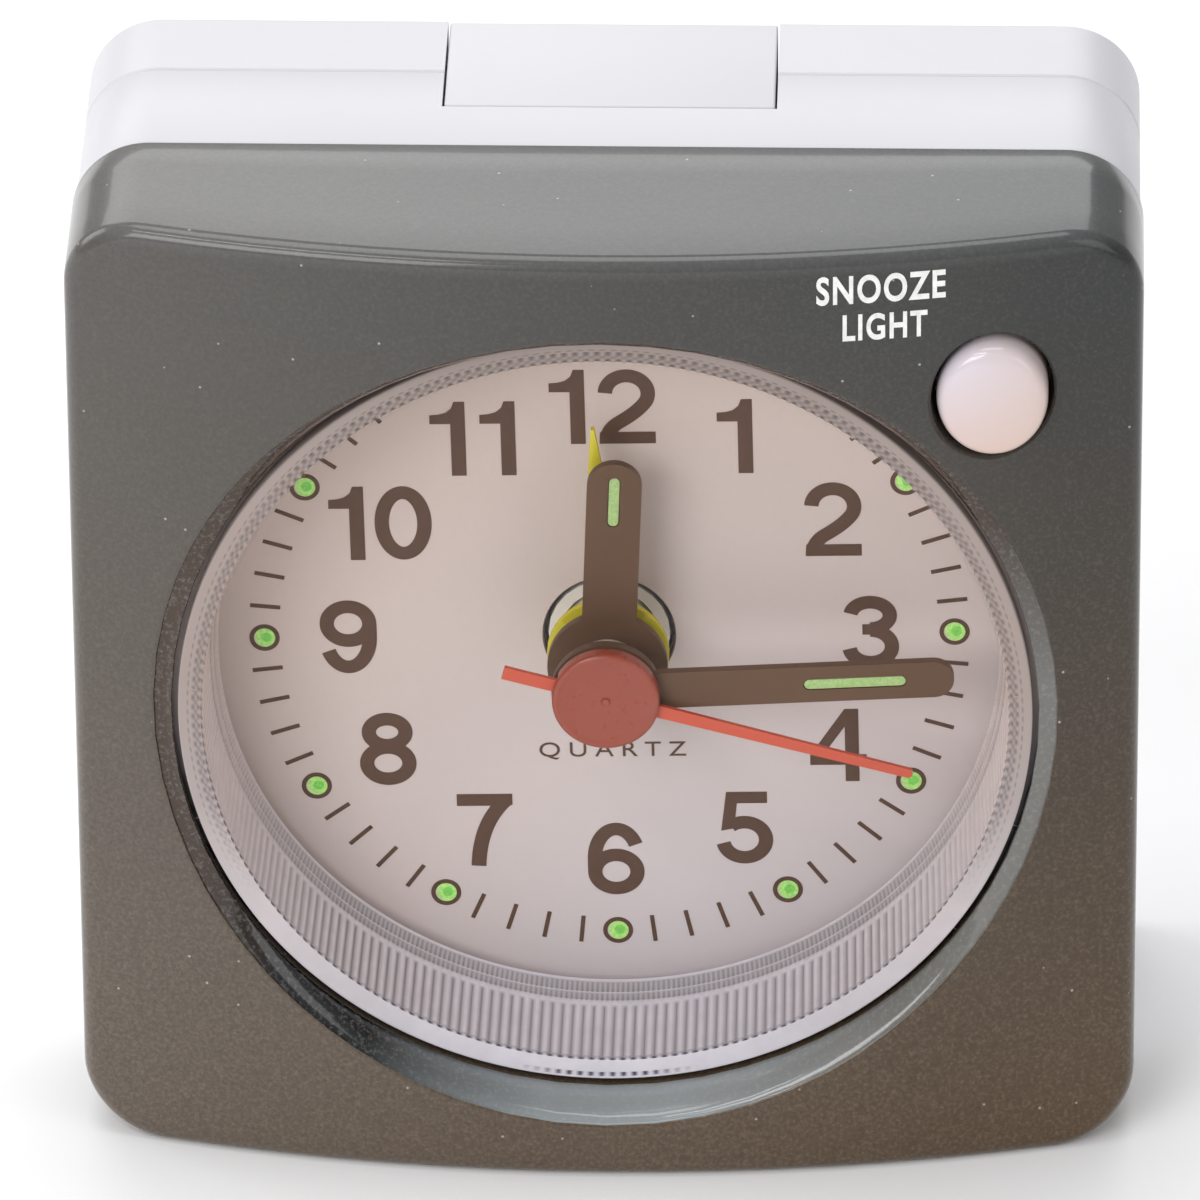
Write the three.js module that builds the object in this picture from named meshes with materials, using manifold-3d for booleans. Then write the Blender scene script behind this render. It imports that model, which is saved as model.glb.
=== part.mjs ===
// A small quartz alarm clock: a grey front bezel over a white two-part case, a round dial under a
// clear lens, four hands on one axis, a snooze and light button, an alarm bar on top, and behind the
// dial the movement, the battery and the setting knobs.
//
// Millimetres, +Z up, the face looks along -Y, +X is the clock's right as one looks at the face.
// The pieces are drawn with y = 0 where the curved face meets the case's sides and with z = 0 on the
// base. The whole clock is then set so that the origin is the middle of its box, at the base.

import * as THREE from 'three';
import { mergeVertices } from 'three/addons/utils/BufferGeometryUtils.js';
import Module from 'manifold-3d';

const wasm = await Module();
wasm.setup();

// ---------------------------------------------------------------- driving dimensions

const WIDTH = 66;
const HEIGHT = 65.4;
const TOP_RADIUS = 4.9;
const BOTTOM_RADIUS = 5;
const WALL = 2;

const FACE_BULGE = 5.1;
const FACE_RADIUS = (FACE_BULGE ** 2 + (WIDTH / 2) ** 2) / (2 * FACE_BULGE);
const FACE_AXIS_Y = FACE_RADIUS - FACE_BULGE;

const BEZEL_BACK = 9.9;
const MIDDLE_FRONT = 10.05;
const MIDDLE_BACK = 19.7;
const REAR_FRONT = 19.85;
const CASE_BACK = 26.8;
const REAR_EDGE_RADIUS = 0.6;
const WHITE_INSET = 0.2;
const BULKHEAD_FRONT = 9.1;
const BULKHEAD_BACK = 10.4;
const PANEL_FRONT = 24.4;

const AXIS_Z = 31.75;
const OPENING_RADIUS = 28;
const RIM_RADIUS = 26.74;
const RIM_Y = -2.15;
const MOUTH_FLARE = 0.85;
const RING_SEAT_RADIUS = 27.7;
const RING_SEAT_Y = -1.15;
const RING_FRONT = -2;
const RING_FACE_RADIUS = 26.5;
const RING_FLANGE_RADIUS = 27.4;
const RING_FLANGE_Y = [-0.95, -0.1];
const RING_BODY_RADIUS = 27.2;
const LENS_RADIUS = 24.6;
const LENS_THICKNESS = 0.9;
const DIAL_Y = 8;
const DIAL_THICKNESS = 0.8;
const DIAL_RADIUS = 28;
const DIAL_BORE = 4.1;

// The button is a little taller than wide. Its radii are half its width.
const BUTTON_X = 23.8;
const BUTTON_Z = 54.9;
const BUTTON_STRETCH = 1.13;
const BUTTON_RADIUS = 3.42;
const BUTTON_HOLE_RADIUS = 3.74;
const BUTTON_RIM_Y = -2.7;
const BUTTON_CROWN = 1.2;
const BUTTON_FLANGE_RADIUS = 3.96;
const BUTTON_FLANGE_Y = [3.2, 4];
const BUTTON_PIN_RADIUS = 1.2;
const BUTTON_PIN_BACK = 4.8;

const BAR_HALF_WIDTH = 10.05;
const BAR_FRONT = 15.45;
const BAR_TRAVEL_ROOM = 1.6;
const BAR_GAP = 0.3;
const BAR_LOW = 58.9;
const BAR_LIP_FRONT = 24.6;
const BAR_STEM_HALF_WIDTH = 1.5;
const BAR_STEM_Y = [18.5, 21.5];
const BAR_STEM_LOW = 61.8;
const BAR_ROOM_LOW = 57.3;

const KNOB_BACK = 28.2;
const KNOB_RADIUS = 5.6;
const KNOB_FLUTES = 14;
const KNOB_FLUTE_DEPTH = 0.4;
const KNOB_BORE_BACK = 26.6;
const WELL_RADIUS = 6.5;
const WELL_FLOOR_FRONT = 23;
const WELL_FLOOR_BACK = 24;

const SOUND_Z = 50.5;
const SOUND_SLOTS = [-4.8, -2.4, 0, 2.4, 4.8];
const SOUND_REACH = 7;
const SLOT_HALF_HEIGHT = 0.5;

const CLEARANCE = 0.3;

// The hands' depths as [front, back], and the radii of their hubs and bores.
const ALARM_HAND_Y = [5.5, 6];
const HOUR_HAND_Y = [3.9, 4.5];
const MINUTE_HAND_Y = [0.75, 1.35];
const SECOND_HAND_Y = [0.05, 0.35];
const ALARM_HUB = [3.8, 2.85];
const HOUR_HUB = [3.75, 2.05];
const MINUTE_HUB = [3.4, 1.25];
const SECOND_HUB = [2.6, 0.6];

// The hands' directions, in degrees clockwise from twelve, as seen from the front.
const HOUR_ANGLE = 2.2;
const MINUTE_ANGLE = 86.7;
const SECOND_ANGLE = 105.5;
const ALARM_ANGLE = -3.2;

// Where the case screws run, as [x, z].
const CASE_SCREWS = [
  [-27.5, 60.3],
  [27.5, 60.3],
  [-28.2, 20.5],
  [28.2, 20.5],
];
const SCREW_SHANK_RADIUS = 0.8;
const SCREW_PILOT_RADIUS = 1;
const SCREW_HOLE_RADIUS = 1.1;
const SCREW_HEAD_RADIUS = 1.8;
const SCREW_SINK_RADIUS = 2.1;
const SCREW_SINK_FRONT = 24.8;
const SCREW_HEAD_Y = [24.9, 25.9];
const SCREW_TIP = 3;

// Pitch radii of the wheels and pinions. Each pair's sum is the distance between its axes.
const CANNON_PINION = 2.1;
const MINUTE_WORK_WHEEL = 6.3;
const MINUTE_WORK_PINION = 1.68;
const HOUR_WHEEL = 6.72;
const ALARM_PINION = 2.4;
const ALARM_WHEEL = 6;
const THIRD_PINION = 0.85;
const CENTRE_WHEEL = 6.8;
const SECOND_PINION = 0.9;
const THIRD_WHEEL = 6.75;
const INTERMEDIATE_PINION = 1;
const SECOND_WHEEL = 5;
const ROTOR_PINION = 0.8;
const INTERMEDIATE_WHEEL = 4.8;
const TOOTH_CLEARANCE = 0.15;
const ARBOR_RADIUS = 0.4;
const SECOND_ARBOR_RADIUS = 0.45;
const STEM_RADIUS = 0.9;
const STEM_BACK = 26.3;
const STEM_HOLE_RADIUS = 1.4;

// The tubes that carry the hands, as [outer radius, bore].
const ALARM_TUBE = [2.75, 2.25];
const HOUR_TUBE = [1.95, 1.45];
const MINUTE_TUBE = [1.15, 0.75];

// Depths of the wheels and pinions, as [front, back].
const ALARM_PINION_Y = [11.8, 12.8];
const ALARM_WHEEL_Y = [11.9, 12.7];
const MINUTE_WORK_PINION_Y = [13, 14.8];
const HOUR_WHEEL_Y = [13.1, 13.9];
const CANNON_PINION_Y = [14.3, 16];
const MINUTE_WORK_WHEEL_Y = [14.4, 15.2];
const THIRD_PINION_Y = [15.5, 16.5];
const CENTRE_WHEEL_Y = [15.6, 16.4];
const INTERMEDIATE_PINION_Y = [17.2, 18.4];
const MAGNET_Y = [17.2, 19.4];
const SECOND_WHEEL_Y = [17.4, 18.2];
const SECOND_PINION_Y = [18, 19.5];
const THIRD_WHEEL_Y = [18.6, 19.4];
const ROTOR_PINION_Y = [19.8, 21.1];
const INTERMEDIATE_WHEEL_Y = [20.1, 20.9];
const ARBOR_BACK = 21.3;
const MAGNET_RADIUS = 2.2;

// Axes of the movement's arbors, from the hands' axis, as [x, z].
const centre = [0, AXIS_Z];
const timeStem = axisAt(centre, CANNON_PINION + MINUTE_WORK_WHEEL, 155);
const alarmStem = axisAt(centre, ALARM_PINION + ALARM_WHEEL, 25);
const thirdAxis = axisAt(centre, SECOND_PINION + THIRD_WHEEL, -40);
const intermediateAxis = axisAt(centre, INTERMEDIATE_PINION + SECOND_WHEEL, 95);
const rotorAxis = axisAt(intermediateAxis, ROTOR_PINION + INTERMEDIATE_WHEEL, 90);

// The movement's box.
const MOVEMENT_HALF_WIDTH = 20;
const MOVEMENT_BOTTOM = 18.6;
const MOVEMENT_TOP = 55.6;
const MOVEMENT_WALL = 1.2;
const MOVEMENT_FRONT = 10.6;
const MOVEMENT_FLOOR = 11.6;
const MOVEMENT_SPLIT = 17;
const MOVEMENT_CEILING = 21.6;
const MOVEMENT_BACK = 22.6;
const MOVEMENT_SCREWS = [
  [-17, 21.6],
  [17, 52.6],
];
const NECK_RADIUS = 3.8;
const NECK_BORE = 3.05;
const BOSS_RADIUS = 1.7;
const BOSS_BORE = 0.9;

// The stepping motor: a stator plate with two legs, and a coil on a core across them.
const STATOR_HALF_WIDTH = 11;
const STATOR_Y = [18, 18.8];
const STATOR_Z = [39.9, 46.8];
const STATOR_BORE = 2.6;
const LEG_X = 9;
const LEG_HALF_WIDTH = 2;
const LEG_TOP = 51.8;
const COIL_RADIUS = 3.3;
const COIL_BORE = 1.6;
const COIL_HALF_LENGTH = 6;
const COIL_Y = 17.35;
const COIL_Z = 50.4;
const CORE_Y = [16.9, 17.8];

const BATTERY_RADIUS = 7;
const BATTERY_Y = 17.55;
const BATTERY_Z = 9.6;
const BATTERY_END = 25;
const DOOR_BOTTOM = 3.3;
const DOOR_TOP = 17.3;
const DOOR_HALF_WIDTH = 27.2;
const DOOR_FRONT = 24.9;
const DOOR_BACK = 26.7;
const DOORWAY_GAP = 0.3;
const THUMB_HOLLOW_Z = [12.5, 15.5];
const SPRING_TURNS = 2.5;
const SPRING_LENGTH = 3.2;
const CONTACT_THICKNESS = 0.4;
const CONTACT_Y = [13, 22];
const CONTACT_Z = [4.5, 14.5];

// ---------------------------------------------------------------- solids

function axisAt([x, z], distance, degrees) {
  const angle = THREE.MathUtils.degToRad(degrees);
  return [x + distance * Math.cos(angle), z + distance * Math.sin(angle)];
}

// A closed three.js geometry as a manifold solid with its faces pointing out.
function solidOf(geometry) {
  const bare = new THREE.BufferGeometry();
  bare.setAttribute('position', geometry.getAttribute('position').clone());
  if (geometry.index) bare.setIndex(geometry.index.clone());
  const merged = mergeVertices(bare, 1e-4);
  const points = merged.getAttribute('position').array;
  const index = merged.index.array;
  const corners = [];
  let volume = 0;
  const [a, b, c] = [new THREE.Vector3(), new THREE.Vector3(), new THREE.Vector3()];
  for (let i = 0; i < index.length; i += 3) {
    const [p, q, r] = index.slice(i, i + 3);
    if (p === q || q === r || r === p) continue;
    corners.push([p, q, r]);
    a.fromArray(points, 3 * p);
    b.fromArray(points, 3 * q);
    c.fromArray(points, 3 * r);
    volume += a.dot(b.cross(c));
  }
  const outward = volume < 0 ? corners.map(([p, q, r]) => [p, r, q]) : corners;
  return new wasm.Manifold(
    new wasm.Mesh({
      numProp: 3,
      vertProperties: Float32Array.from(points),
      triVerts: Uint32Array.from(outward.flat()),
    }),
  );
}

function geometryOf(solid) {
  const mesh = solid.getMesh();
  const geometry = new THREE.BufferGeometry();
  geometry.setAttribute('position', new THREE.BufferAttribute(mesh.vertProperties, 3));
  geometry.setIndex(new THREE.BufferAttribute(mesh.triVerts, 1));
  geometry.computeVertexNormals();
  return geometry;
}

function joined(...solids) {
  return solids.reduce((whole, solid) => whole.add(solid));
}

function cut(solid, ...tools) {
  return tools.reduce((rest, tool) => rest.subtract(tool), solid);
}

// A shape drawn in x and z, made solid between two depths.
function slab(shape, front, back, curveSegments = 3) {
  const options = { depth: back - front, bevelEnabled: false, curveSegments };
  const geometry = new THREE.ExtrudeGeometry(shape, options);
  geometry.rotateX(Math.PI / 2);
  geometry.translate(0, back, 0);
  return solidOf(geometry);
}

function block(x0, x1, y0, y1, z0, z1) {
  const geometry = new THREE.BoxGeometry(x1 - x0, y1 - y0, z1 - z0);
  geometry.translate((x0 + x1) / 2, (y0 + y1) / 2, (z0 + z1) / 2);
  return solidOf(geometry);
}

// A profile of [radius, y] points turned about an axis along y.
function turned(profile, [x, z] = [0, 0], segments = 32) {
  const points = profile.map(([radius, y]) => new THREE.Vector2(radius, y));
  const geometry = new THREE.LatheGeometry(points, segments);
  geometry.translate(x, 0, z);
  return solidOf(geometry);
}

/** Stretches a round solid drawn about the origin to the button's oval, and sets it in place. */
function atButton(solid) {
  return solid.scale([1, 1, BUTTON_STRETCH]).translate([BUTTON_X, 0, BUTTON_Z]);
}

function disc(radius, front, back, at, segments) {
  const profile = [
    [0, front],
    [radius, front],
    [radius, back],
    [0, back],
  ];
  return turned(profile, at, segments);
}

function tube(inner, outer, front, back, at, segments) {
  const profile = [
    [inner, front],
    [outer, front],
    [outer, back],
    [inner, back],
    [inner, front],
  ];
  return turned(profile, at, segments);
}

// A cylinder along x.
function rod(radius, x0, x1, y, z, segments = 24) {
  const geometry = new THREE.CylinderGeometry(radius, radius, x1 - x0, segments);
  geometry.rotateZ(Math.PI / 2);
  geometry.translate((x0 + x1) / 2, y, z);
  return solidOf(geometry);
}

// The case's outline, brought in by an inset on every side.
function caseOutline(inset, bottom = 0) {
  const side = WIDTH / 2 - inset;
  const [low, high] = [bottom + inset, HEIGHT - inset];
  const top = Math.max(TOP_RADIUS - inset, 1);
  const base = Math.max(BOTTOM_RADIUS - inset, 1);
  const shape = new THREE.Shape();
  shape.moveTo(-side + base, low);
  shape.lineTo(side - base, low);
  shape.absarc(side - base, low + base, base, -Math.PI / 2, 0);
  shape.lineTo(side, high - top);
  shape.absarc(side - top, high - top, top, 0, Math.PI / 2);
  shape.lineTo(-side + top, high);
  shape.absarc(-side + top, high - top, top, Math.PI / 2, Math.PI);
  shape.lineTo(-side, low + base);
  shape.absarc(-side + base, low + base, base, Math.PI, 1.5 * Math.PI);
  return shape;
}

// Everything behind the curved face, or behind a surface parallel to it and deeper by an offset.
function behindFace(offset = 0) {
  const radius = FACE_RADIUS - offset;
  const reach = WIDTH / 2 + 3;
  const sweep = Math.asin(reach / radius);
  const plan = new THREE.Shape();
  plan.moveTo(reach, CASE_BACK);
  plan.lineTo(-reach, CASE_BACK);
  plan.absarc(0, FACE_AXIS_Y, radius, -Math.PI / 2 - sweep, -Math.PI / 2 + sweep);
  const options = { depth: HEIGHT + 20, bevelEnabled: false, curveSegments: 9 };
  const geometry = new THREE.ExtrudeGeometry(plan, options);
  geometry.translate(0, 0, -10);
  return solidOf(geometry);
}

// A toothed wheel. Its teeth stop short of the pitch circle, so that meshing wheels stay clear.
function gear(teeth, pitchRadius, front, back, at = [0, 0]) {
  const tip = pitchRadius - TOOTH_CLEARANCE;
  const root = tip - Math.min(0.8, (1.6 * pitchRadius) / teeth + 0.15);
  const shape = new THREE.Shape();
  for (let i = 0; i < 2 * teeth; i += 1) {
    const angle = (i / teeth) * Math.PI;
    const radius = i % 2 ? tip : root;
    const point = [at[0] + radius * Math.cos(angle), at[1] + radius * Math.sin(angle)];
    if (i === 0) shape.moveTo(...point);
    else shape.lineTo(...point);
  }
  return slab(shape, front, back);
}

function arbor(front, back, at, radius = ARBOR_RADIUS) {
  return disc(radius, front, back, at, 8);
}

// ---------------------------------------------------------------- case

function frontBezel() {
  const body = slab(caseOutline(0), -FACE_BULGE - 1, BEZEL_BACK).intersect(behindFace());
  const hollow = slab(caseOutline(WALL), -FACE_BULGE - 1, BEZEL_BACK + 1).intersect(behindFace(2.2));
  const opening = turned(
    [
      [0, -FACE_BULGE - 2],
      [OPENING_RADIUS + MOUTH_FLARE, -FACE_BULGE - 2],
      [RIM_RADIUS, RIM_Y],
      [RIM_RADIUS, BEZEL_BACK],
      [0, BEZEL_BACK],
    ],
    centre,
    56,
  );
  const ringSeat = disc(RING_SEAT_RADIUS, RING_SEAT_Y, BEZEL_BACK + 1, centre, 56);
  const buttonHole = atButton(disc(BUTTON_HOLE_RADIUS, -FACE_BULGE - 1, BEZEL_BACK, [0, 0], 24));
  const shell = cut(body, hollow, opening, ringSeat);
  const guide = atButton(disc(BUTTON_HOLE_RADIUS + 0.9, -3, 3, [0, 0], 24)).intersect(body);
  const bosses = CASE_SCREWS.map((at) => disc(2, -2, 8.8, at, 12).intersect(body));
  const pilots = CASE_SCREWS.map((at) => disc(SCREW_PILOT_RADIUS, 1.2, BEZEL_BACK, at, 8));
  return cut(joined(shell, guide, ...bosses), buttonHole, ...pilots);
}

// The flat pane in the ribbed ring's mouth.
function frontLens() {
  return disc(LENS_RADIUS, RING_FRONT, RING_FRONT + LENS_THICKNESS, centre, 48);
}

// The clear wall between the opening and the dial. Its front face fills the bezel's rim, a flange
// holds it behind the rim, and its foot turns in over the dial's edge.
function ribbedRing() {
  const profile = [
    [24.95, RING_FRONT],
    [24.8, 4.2],
    [24.7, 4.9],
    [24.35, 6.6],
    [25.3, 6.9],
    [25.8, DIAL_Y - 0.2],
    [27, DIAL_Y - 0.2],
    [RING_BODY_RADIUS, RING_FLANGE_Y[1]],
    [RING_FLANGE_RADIUS, RING_FLANGE_Y[1]],
    [RING_FLANGE_RADIUS, RING_FLANGE_Y[0]],
    [RING_FACE_RADIUS, RING_FLANGE_Y[0]],
    [RING_FACE_RADIUS, RING_FRONT],
    [24.95, RING_FRONT],
  ];
  return turned(profile, centre, 48);
}

function dialPlate() {
  return tube(DIAL_BORE, DIAL_RADIUS, DIAL_Y, DIAL_Y + DIAL_THICKNESS, centre, 48);
}

// The opening in the case's top and back that the alarm bar works in.
function barOpening() {
  const side = BAR_HALF_WIDTH + BAR_GAP;
  const top = block(-side, side, BAR_FRONT - BAR_GAP, CASE_BACK + 2, HEIGHT - 3, HEIGHT + 2);
  const back = block(-side, side, PANEL_FRONT - 0.1, CASE_BACK + 2, BAR_ROOM_LOW, HEIGHT + 2);
  return joined(top, back);
}

function middleCase() {
  const ring = cut(
    slab(caseOutline(WHITE_INSET, -WHITE_INSET), MIDDLE_FRONT, MIDDLE_BACK),
    slab(caseOutline(WALL + WHITE_INSET), BULKHEAD_BACK, MIDDLE_BACK + 1),
  );
  const bulkhead = slab(caseOutline(WALL + CLEARANCE), BULKHEAD_FRONT, BULKHEAD_BACK);
  const neckHole = disc(DIAL_BORE, 0, MIDDLE_BACK, centre, 24);
  const screwHoles = CASE_SCREWS.map((at) => disc(SCREW_HOLE_RADIUS, 0, MIDDLE_BACK, at, 8));
  return cut(joined(ring, bulkhead), neckHole, barOpening(), ...screwHoles);
}

function rearCase() {
  const outline = caseOutline(WHITE_INSET + REAR_EDGE_RADIUS, -WHITE_INSET);
  const options = {
    depth: 10,
    curveSegments: 3,
    bevelSegments: 3,
    bevelSize: REAR_EDGE_RADIUS,
    bevelThickness: REAR_EDGE_RADIUS,
  };
  const pillow = new THREE.ExtrudeGeometry(outline, options);
  pillow.rotateX(Math.PI / 2);
  pillow.translate(0, CASE_BACK - REAR_EDGE_RADIUS, 0);
  const outer = solidOf(pillow).intersect(block(-40, 40, REAR_FRONT, CASE_BACK + 1, -5, 80));
  const shell = cut(outer, slab(caseOutline(WALL + WHITE_INSET), REAR_FRONT - 1, PANEL_FRONT));
  const wells = [timeStem, alarmStem].map((at) =>
    disc(WELL_RADIUS + 0.9, WELL_FLOOR_FRONT, CASE_BACK - 0.5, at, 28),
  );
  const wellHollows = [timeStem, alarmStem].map((at) =>
    joined(
      disc(WELL_RADIUS, WELL_FLOOR_BACK, CASE_BACK + 1, at, 28),
      disc(STEM_HOLE_RADIUS, WELL_FLOOR_FRONT - 3, WELL_FLOOR_BACK + 2, at, 12),
    ),
  );
  const [inside, panel] = [BULKHEAD_BACK + CLEARANCE, PANEL_FRONT + 0.5];
  const columns = CASE_SCREWS.map((at) => disc(2.2, inside, panel, at, 12));
  const screwWays = CASE_SCREWS.map((at) =>
    joined(
      disc(SCREW_HOLE_RADIUS, 0, CASE_BACK + 1, at, 8),
      disc(SCREW_SINK_RADIUS, SCREW_SINK_FRONT, CASE_BACK + 1, at, 16),
    ),
  );
  const compartment = joined(
    block(-29.7, 27.1, inside, panel, 17.1, 18.1),
    block(26.1, 27.1, inside, panel, 2.2, 17.5),
    block(-30.7, -29.7, inside, panel, 2.2, 18.1),
  ).intersect(slab(caseOutline(WALL + WHITE_INSET + CLEARANCE), BULKHEAD_BACK, panel));
  const doorway = block(
    -DOOR_HALF_WIDTH - DOORWAY_GAP,
    DOOR_HALF_WIDTH + DOORWAY_GAP,
    PANEL_FRONT - 0.2,
    CASE_BACK + 1,
    DOOR_BOTTOM - 0.4,
    DOOR_TOP + DOORWAY_GAP,
  );
  const slots = SOUND_SLOTS.map((z) => {
    const half = Math.sqrt(SOUND_REACH ** 2 - z ** 2);
    const [low, high] = [SOUND_Z + z - SLOT_HALF_HEIGHT, SOUND_Z + z + SLOT_HALF_HEIGHT];
    return block(-half, half, PANEL_FRONT - 1, CASE_BACK + 1, low, high);
  });
  const solid = joined(shell, ...wells, ...columns, compartment);
  return cut(solid, doorway, barOpening(), ...wellHollows, ...screwWays, ...slots);
}

function caseScrew(at) {
  const head = disc(SCREW_HEAD_RADIUS, ...SCREW_HEAD_Y, at, 14);
  return joined(head, disc(SCREW_SHANK_RADIUS, SCREW_TIP, SCREW_HEAD_Y[0] + 0.3, at, 8));
}

// ---------------------------------------------------------------- controls

function snoozeButton() {
  const dome = [];
  for (let i = 0; i <= 5; i += 1) {
    const angle = (i / 5) * (Math.PI / 2);
    dome.push([BUTTON_RADIUS * Math.sin(angle), BUTTON_RIM_Y - BUTTON_CROWN * Math.cos(angle)]);
  }
  const [flangeFront, flangeBack] = BUTTON_FLANGE_Y;
  const profile = [
    ...dome,
    [BUTTON_RADIUS, flangeFront],
    [BUTTON_FLANGE_RADIUS, flangeFront],
    [BUTTON_FLANGE_RADIUS, flangeBack],
    [BUTTON_PIN_RADIUS, flangeBack],
    [BUTTON_PIN_RADIUS, BUTTON_PIN_BACK],
    [0, BUTTON_PIN_BACK],
  ];
  return atButton(turned(profile, [0, 0], 24));
}

function alarmBar() {
  const top = HEIGHT - WHITE_INSET - 0.05;
  const lip = CASE_BACK - 0.1;
  const side = new THREE.Shape();
  side.moveTo(BAR_FRONT, top);
  side.lineTo(BAR_FRONT, top - BAR_TRAVEL_ROOM);
  side.lineTo(BAR_LIP_FRONT, top - BAR_TRAVEL_ROOM);
  side.lineTo(BAR_LIP_FRONT, BAR_LOW);
  side.lineTo(lip, BAR_LOW);
  side.lineTo(lip, top - REAR_EDGE_RADIUS);
  side.absarc(lip - REAR_EDGE_RADIUS, top - REAR_EDGE_RADIUS, REAR_EDGE_RADIUS, 0, Math.PI / 2);
  const options = { depth: 2 * BAR_HALF_WIDTH, bevelEnabled: false, curveSegments: 3 };
  const geometry = new THREE.ExtrudeGeometry(side, options);
  // The profile was drawn in y and z, so its own axes are turned onto them.
  const [alongX, alongY, alongZ] = [
    new THREE.Vector3(0, 1, 0),
    new THREE.Vector3(0, 0, 1),
    new THREE.Vector3(1, 0, 0),
  ];
  geometry.applyMatrix4(new THREE.Matrix4().makeBasis(alongX, alongY, alongZ));
  geometry.translate(-BAR_HALF_WIDTH, 0, 0);
  const stemSide = BAR_STEM_HALF_WIDTH;
  const stem = block(-stemSide, stemSide, ...BAR_STEM_Y, BAR_STEM_LOW, top - 1);
  return joined(solidOf(geometry), stem);
}

// A setting knob with a grip of shallow flutes, bored for its stem.
function settingKnob(at) {
  const corners = 4 * KNOB_FLUTES;
  const shape = new THREE.Shape();
  for (let i = 0; i < corners; i += 1) {
    const angle = (i / corners) * 2 * Math.PI;
    const radius = i % 4 < 2 ? KNOB_RADIUS : KNOB_RADIUS - KNOB_FLUTE_DEPTH;
    const point = [at[0] + radius * Math.cos(angle), at[1] + radius * Math.sin(angle)];
    if (i === 0) shape.moveTo(...point);
    else shape.lineTo(...point);
  }
  const grip = slab(shape, WELL_FLOOR_BACK + 0.6, KNOB_BACK);
  return cut(grip, disc(STEM_RADIUS + 0.2, WELL_FLOOR_BACK - 4, KNOB_BORE_BACK, at, 12));
}

function batteryDoor() {
  const panel = block(-DOOR_HALF_WIDTH, DOOR_HALF_WIDTH, DOOR_FRONT, DOOR_BACK, DOOR_BOTTOM, DOOR_TOP);
  const thumbHollow = block(-5, 5, DOOR_BACK - 0.5, DOOR_BACK + 1, ...THUMB_HOLLOW_Z);
  return cut(panel, thumbHollow);
}

// ---------------------------------------------------------------- hands, drawn pointing to twelve

// A flat hand: a hub disc and a bar with a round end, bored for its tube.
function barHand([hubRadius, bore], halfWidth, length, [front, back]) {
  const bar = new THREE.Shape();
  bar.moveTo(-halfWidth, 0);
  bar.lineTo(halfWidth, 0);
  bar.lineTo(halfWidth, length - halfWidth);
  bar.absarc(0, length - halfWidth, halfWidth, 0, Math.PI);
  const blade = slab(bar, front, back, 4);
  const hub = disc(hubRadius, front, back, [0, 0], 28);
  return cut(joined(blade, hub), disc(bore, front - 1, back + 1, [0, 0], 16));
}

function alarmHand() {
  const pointer = new THREE.Shape();
  pointer.moveTo(-0.55, 0);
  pointer.lineTo(0.55, 0);
  pointer.lineTo(0.5, 12.5);
  pointer.lineTo(0.08, 16.1);
  pointer.lineTo(-0.08, 16.1);
  pointer.lineTo(-0.5, 12.5);
  const [front, back] = ALARM_HAND_Y;
  const [hubRadius, bore] = ALARM_HUB;
  const hub = disc(hubRadius, front, back, [0, 0], 28);
  return cut(joined(slab(pointer, front, back), hub), disc(bore, front - 1, back + 1, [0, 0], 18));
}

function secondHand() {
  const needle = new THREE.Shape();
  needle.moveTo(-0.42, -6.6);
  needle.lineTo(0.42, -6.6);
  needle.lineTo(0.42, 4);
  needle.lineTo(0.3, 19.6);
  needle.lineTo(0, 19.75);
  needle.lineTo(-0.3, 19.6);
  needle.lineTo(-0.42, 4);
  const [hubRadius, bore] = SECOND_HUB;
  const hub = disc(hubRadius, ...SECOND_HAND_Y, [0, 0], 28);
  return cut(joined(slab(needle, ...SECOND_HAND_Y), hub), disc(bore, -1, 1, [0, 0], 12));
}

function secondCap() {
  const profile = [
    [0, -0.45],
    [3.1, -0.4],
    [3.35, -0.2],
    [3.35, 0.5],
    [2.9, 0.5],
    [2.9, -0.15],
    [0, -0.15],
  ];
  const skirt = turned(profile, [0, 0], 28);
  // The needle leaves the cap through a notch on each side.
  return cut(skirt, block(-0.75, 0.75, -0.1, 1, -4, 4));
}

// ---------------------------------------------------------------- wheels, on the hands' axis

function alarmWheel() {
  const [outer, bore] = ALARM_TUBE;
  const tubeFront = ALARM_HAND_Y[0] + 0.1;
  const wheel = gear(30, ALARM_WHEEL, ...ALARM_WHEEL_Y);
  return cut(joined(wheel, disc(outer, tubeFront, 12.3, [0, 0], 18)), disc(bore, 5, 13, [0, 0], 18));
}

function hourWheel() {
  const [outer, bore] = HOUR_TUBE;
  const tubeFront = HOUR_HAND_Y[0] + 0.1;
  const wheel = gear(28, HOUR_WHEEL, ...HOUR_WHEEL_Y);
  return cut(joined(wheel, disc(outer, tubeFront, 13.5, [0, 0], 16)), disc(bore, 3, 15, [0, 0], 16));
}

function centreWheel() {
  const [outer, bore] = MINUTE_TUBE;
  const tubeFront = MINUTE_HAND_Y[0] + 0.05;
  const wheel = gear(40, CENTRE_WHEEL, ...CENTRE_WHEEL_Y);
  const pinion = gear(10, CANNON_PINION, ...CANNON_PINION_Y);
  const tubeSolid = disc(outer, tubeFront, 15, [0, 0], 14);
  return cut(joined(wheel, pinion, tubeSolid), disc(bore, 0, 17, [0, 0], 14));
}

function secondWheel() {
  return joined(
    gear(30, SECOND_WHEEL, ...SECOND_WHEEL_Y),
    gear(6, SECOND_PINION, ...SECOND_PINION_Y),
    arbor(0, ARBOR_BACK, [0, 0], SECOND_ARBOR_RADIUS),
  );
}

// ---------------------------------------------------------------- the rest of the train

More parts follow.
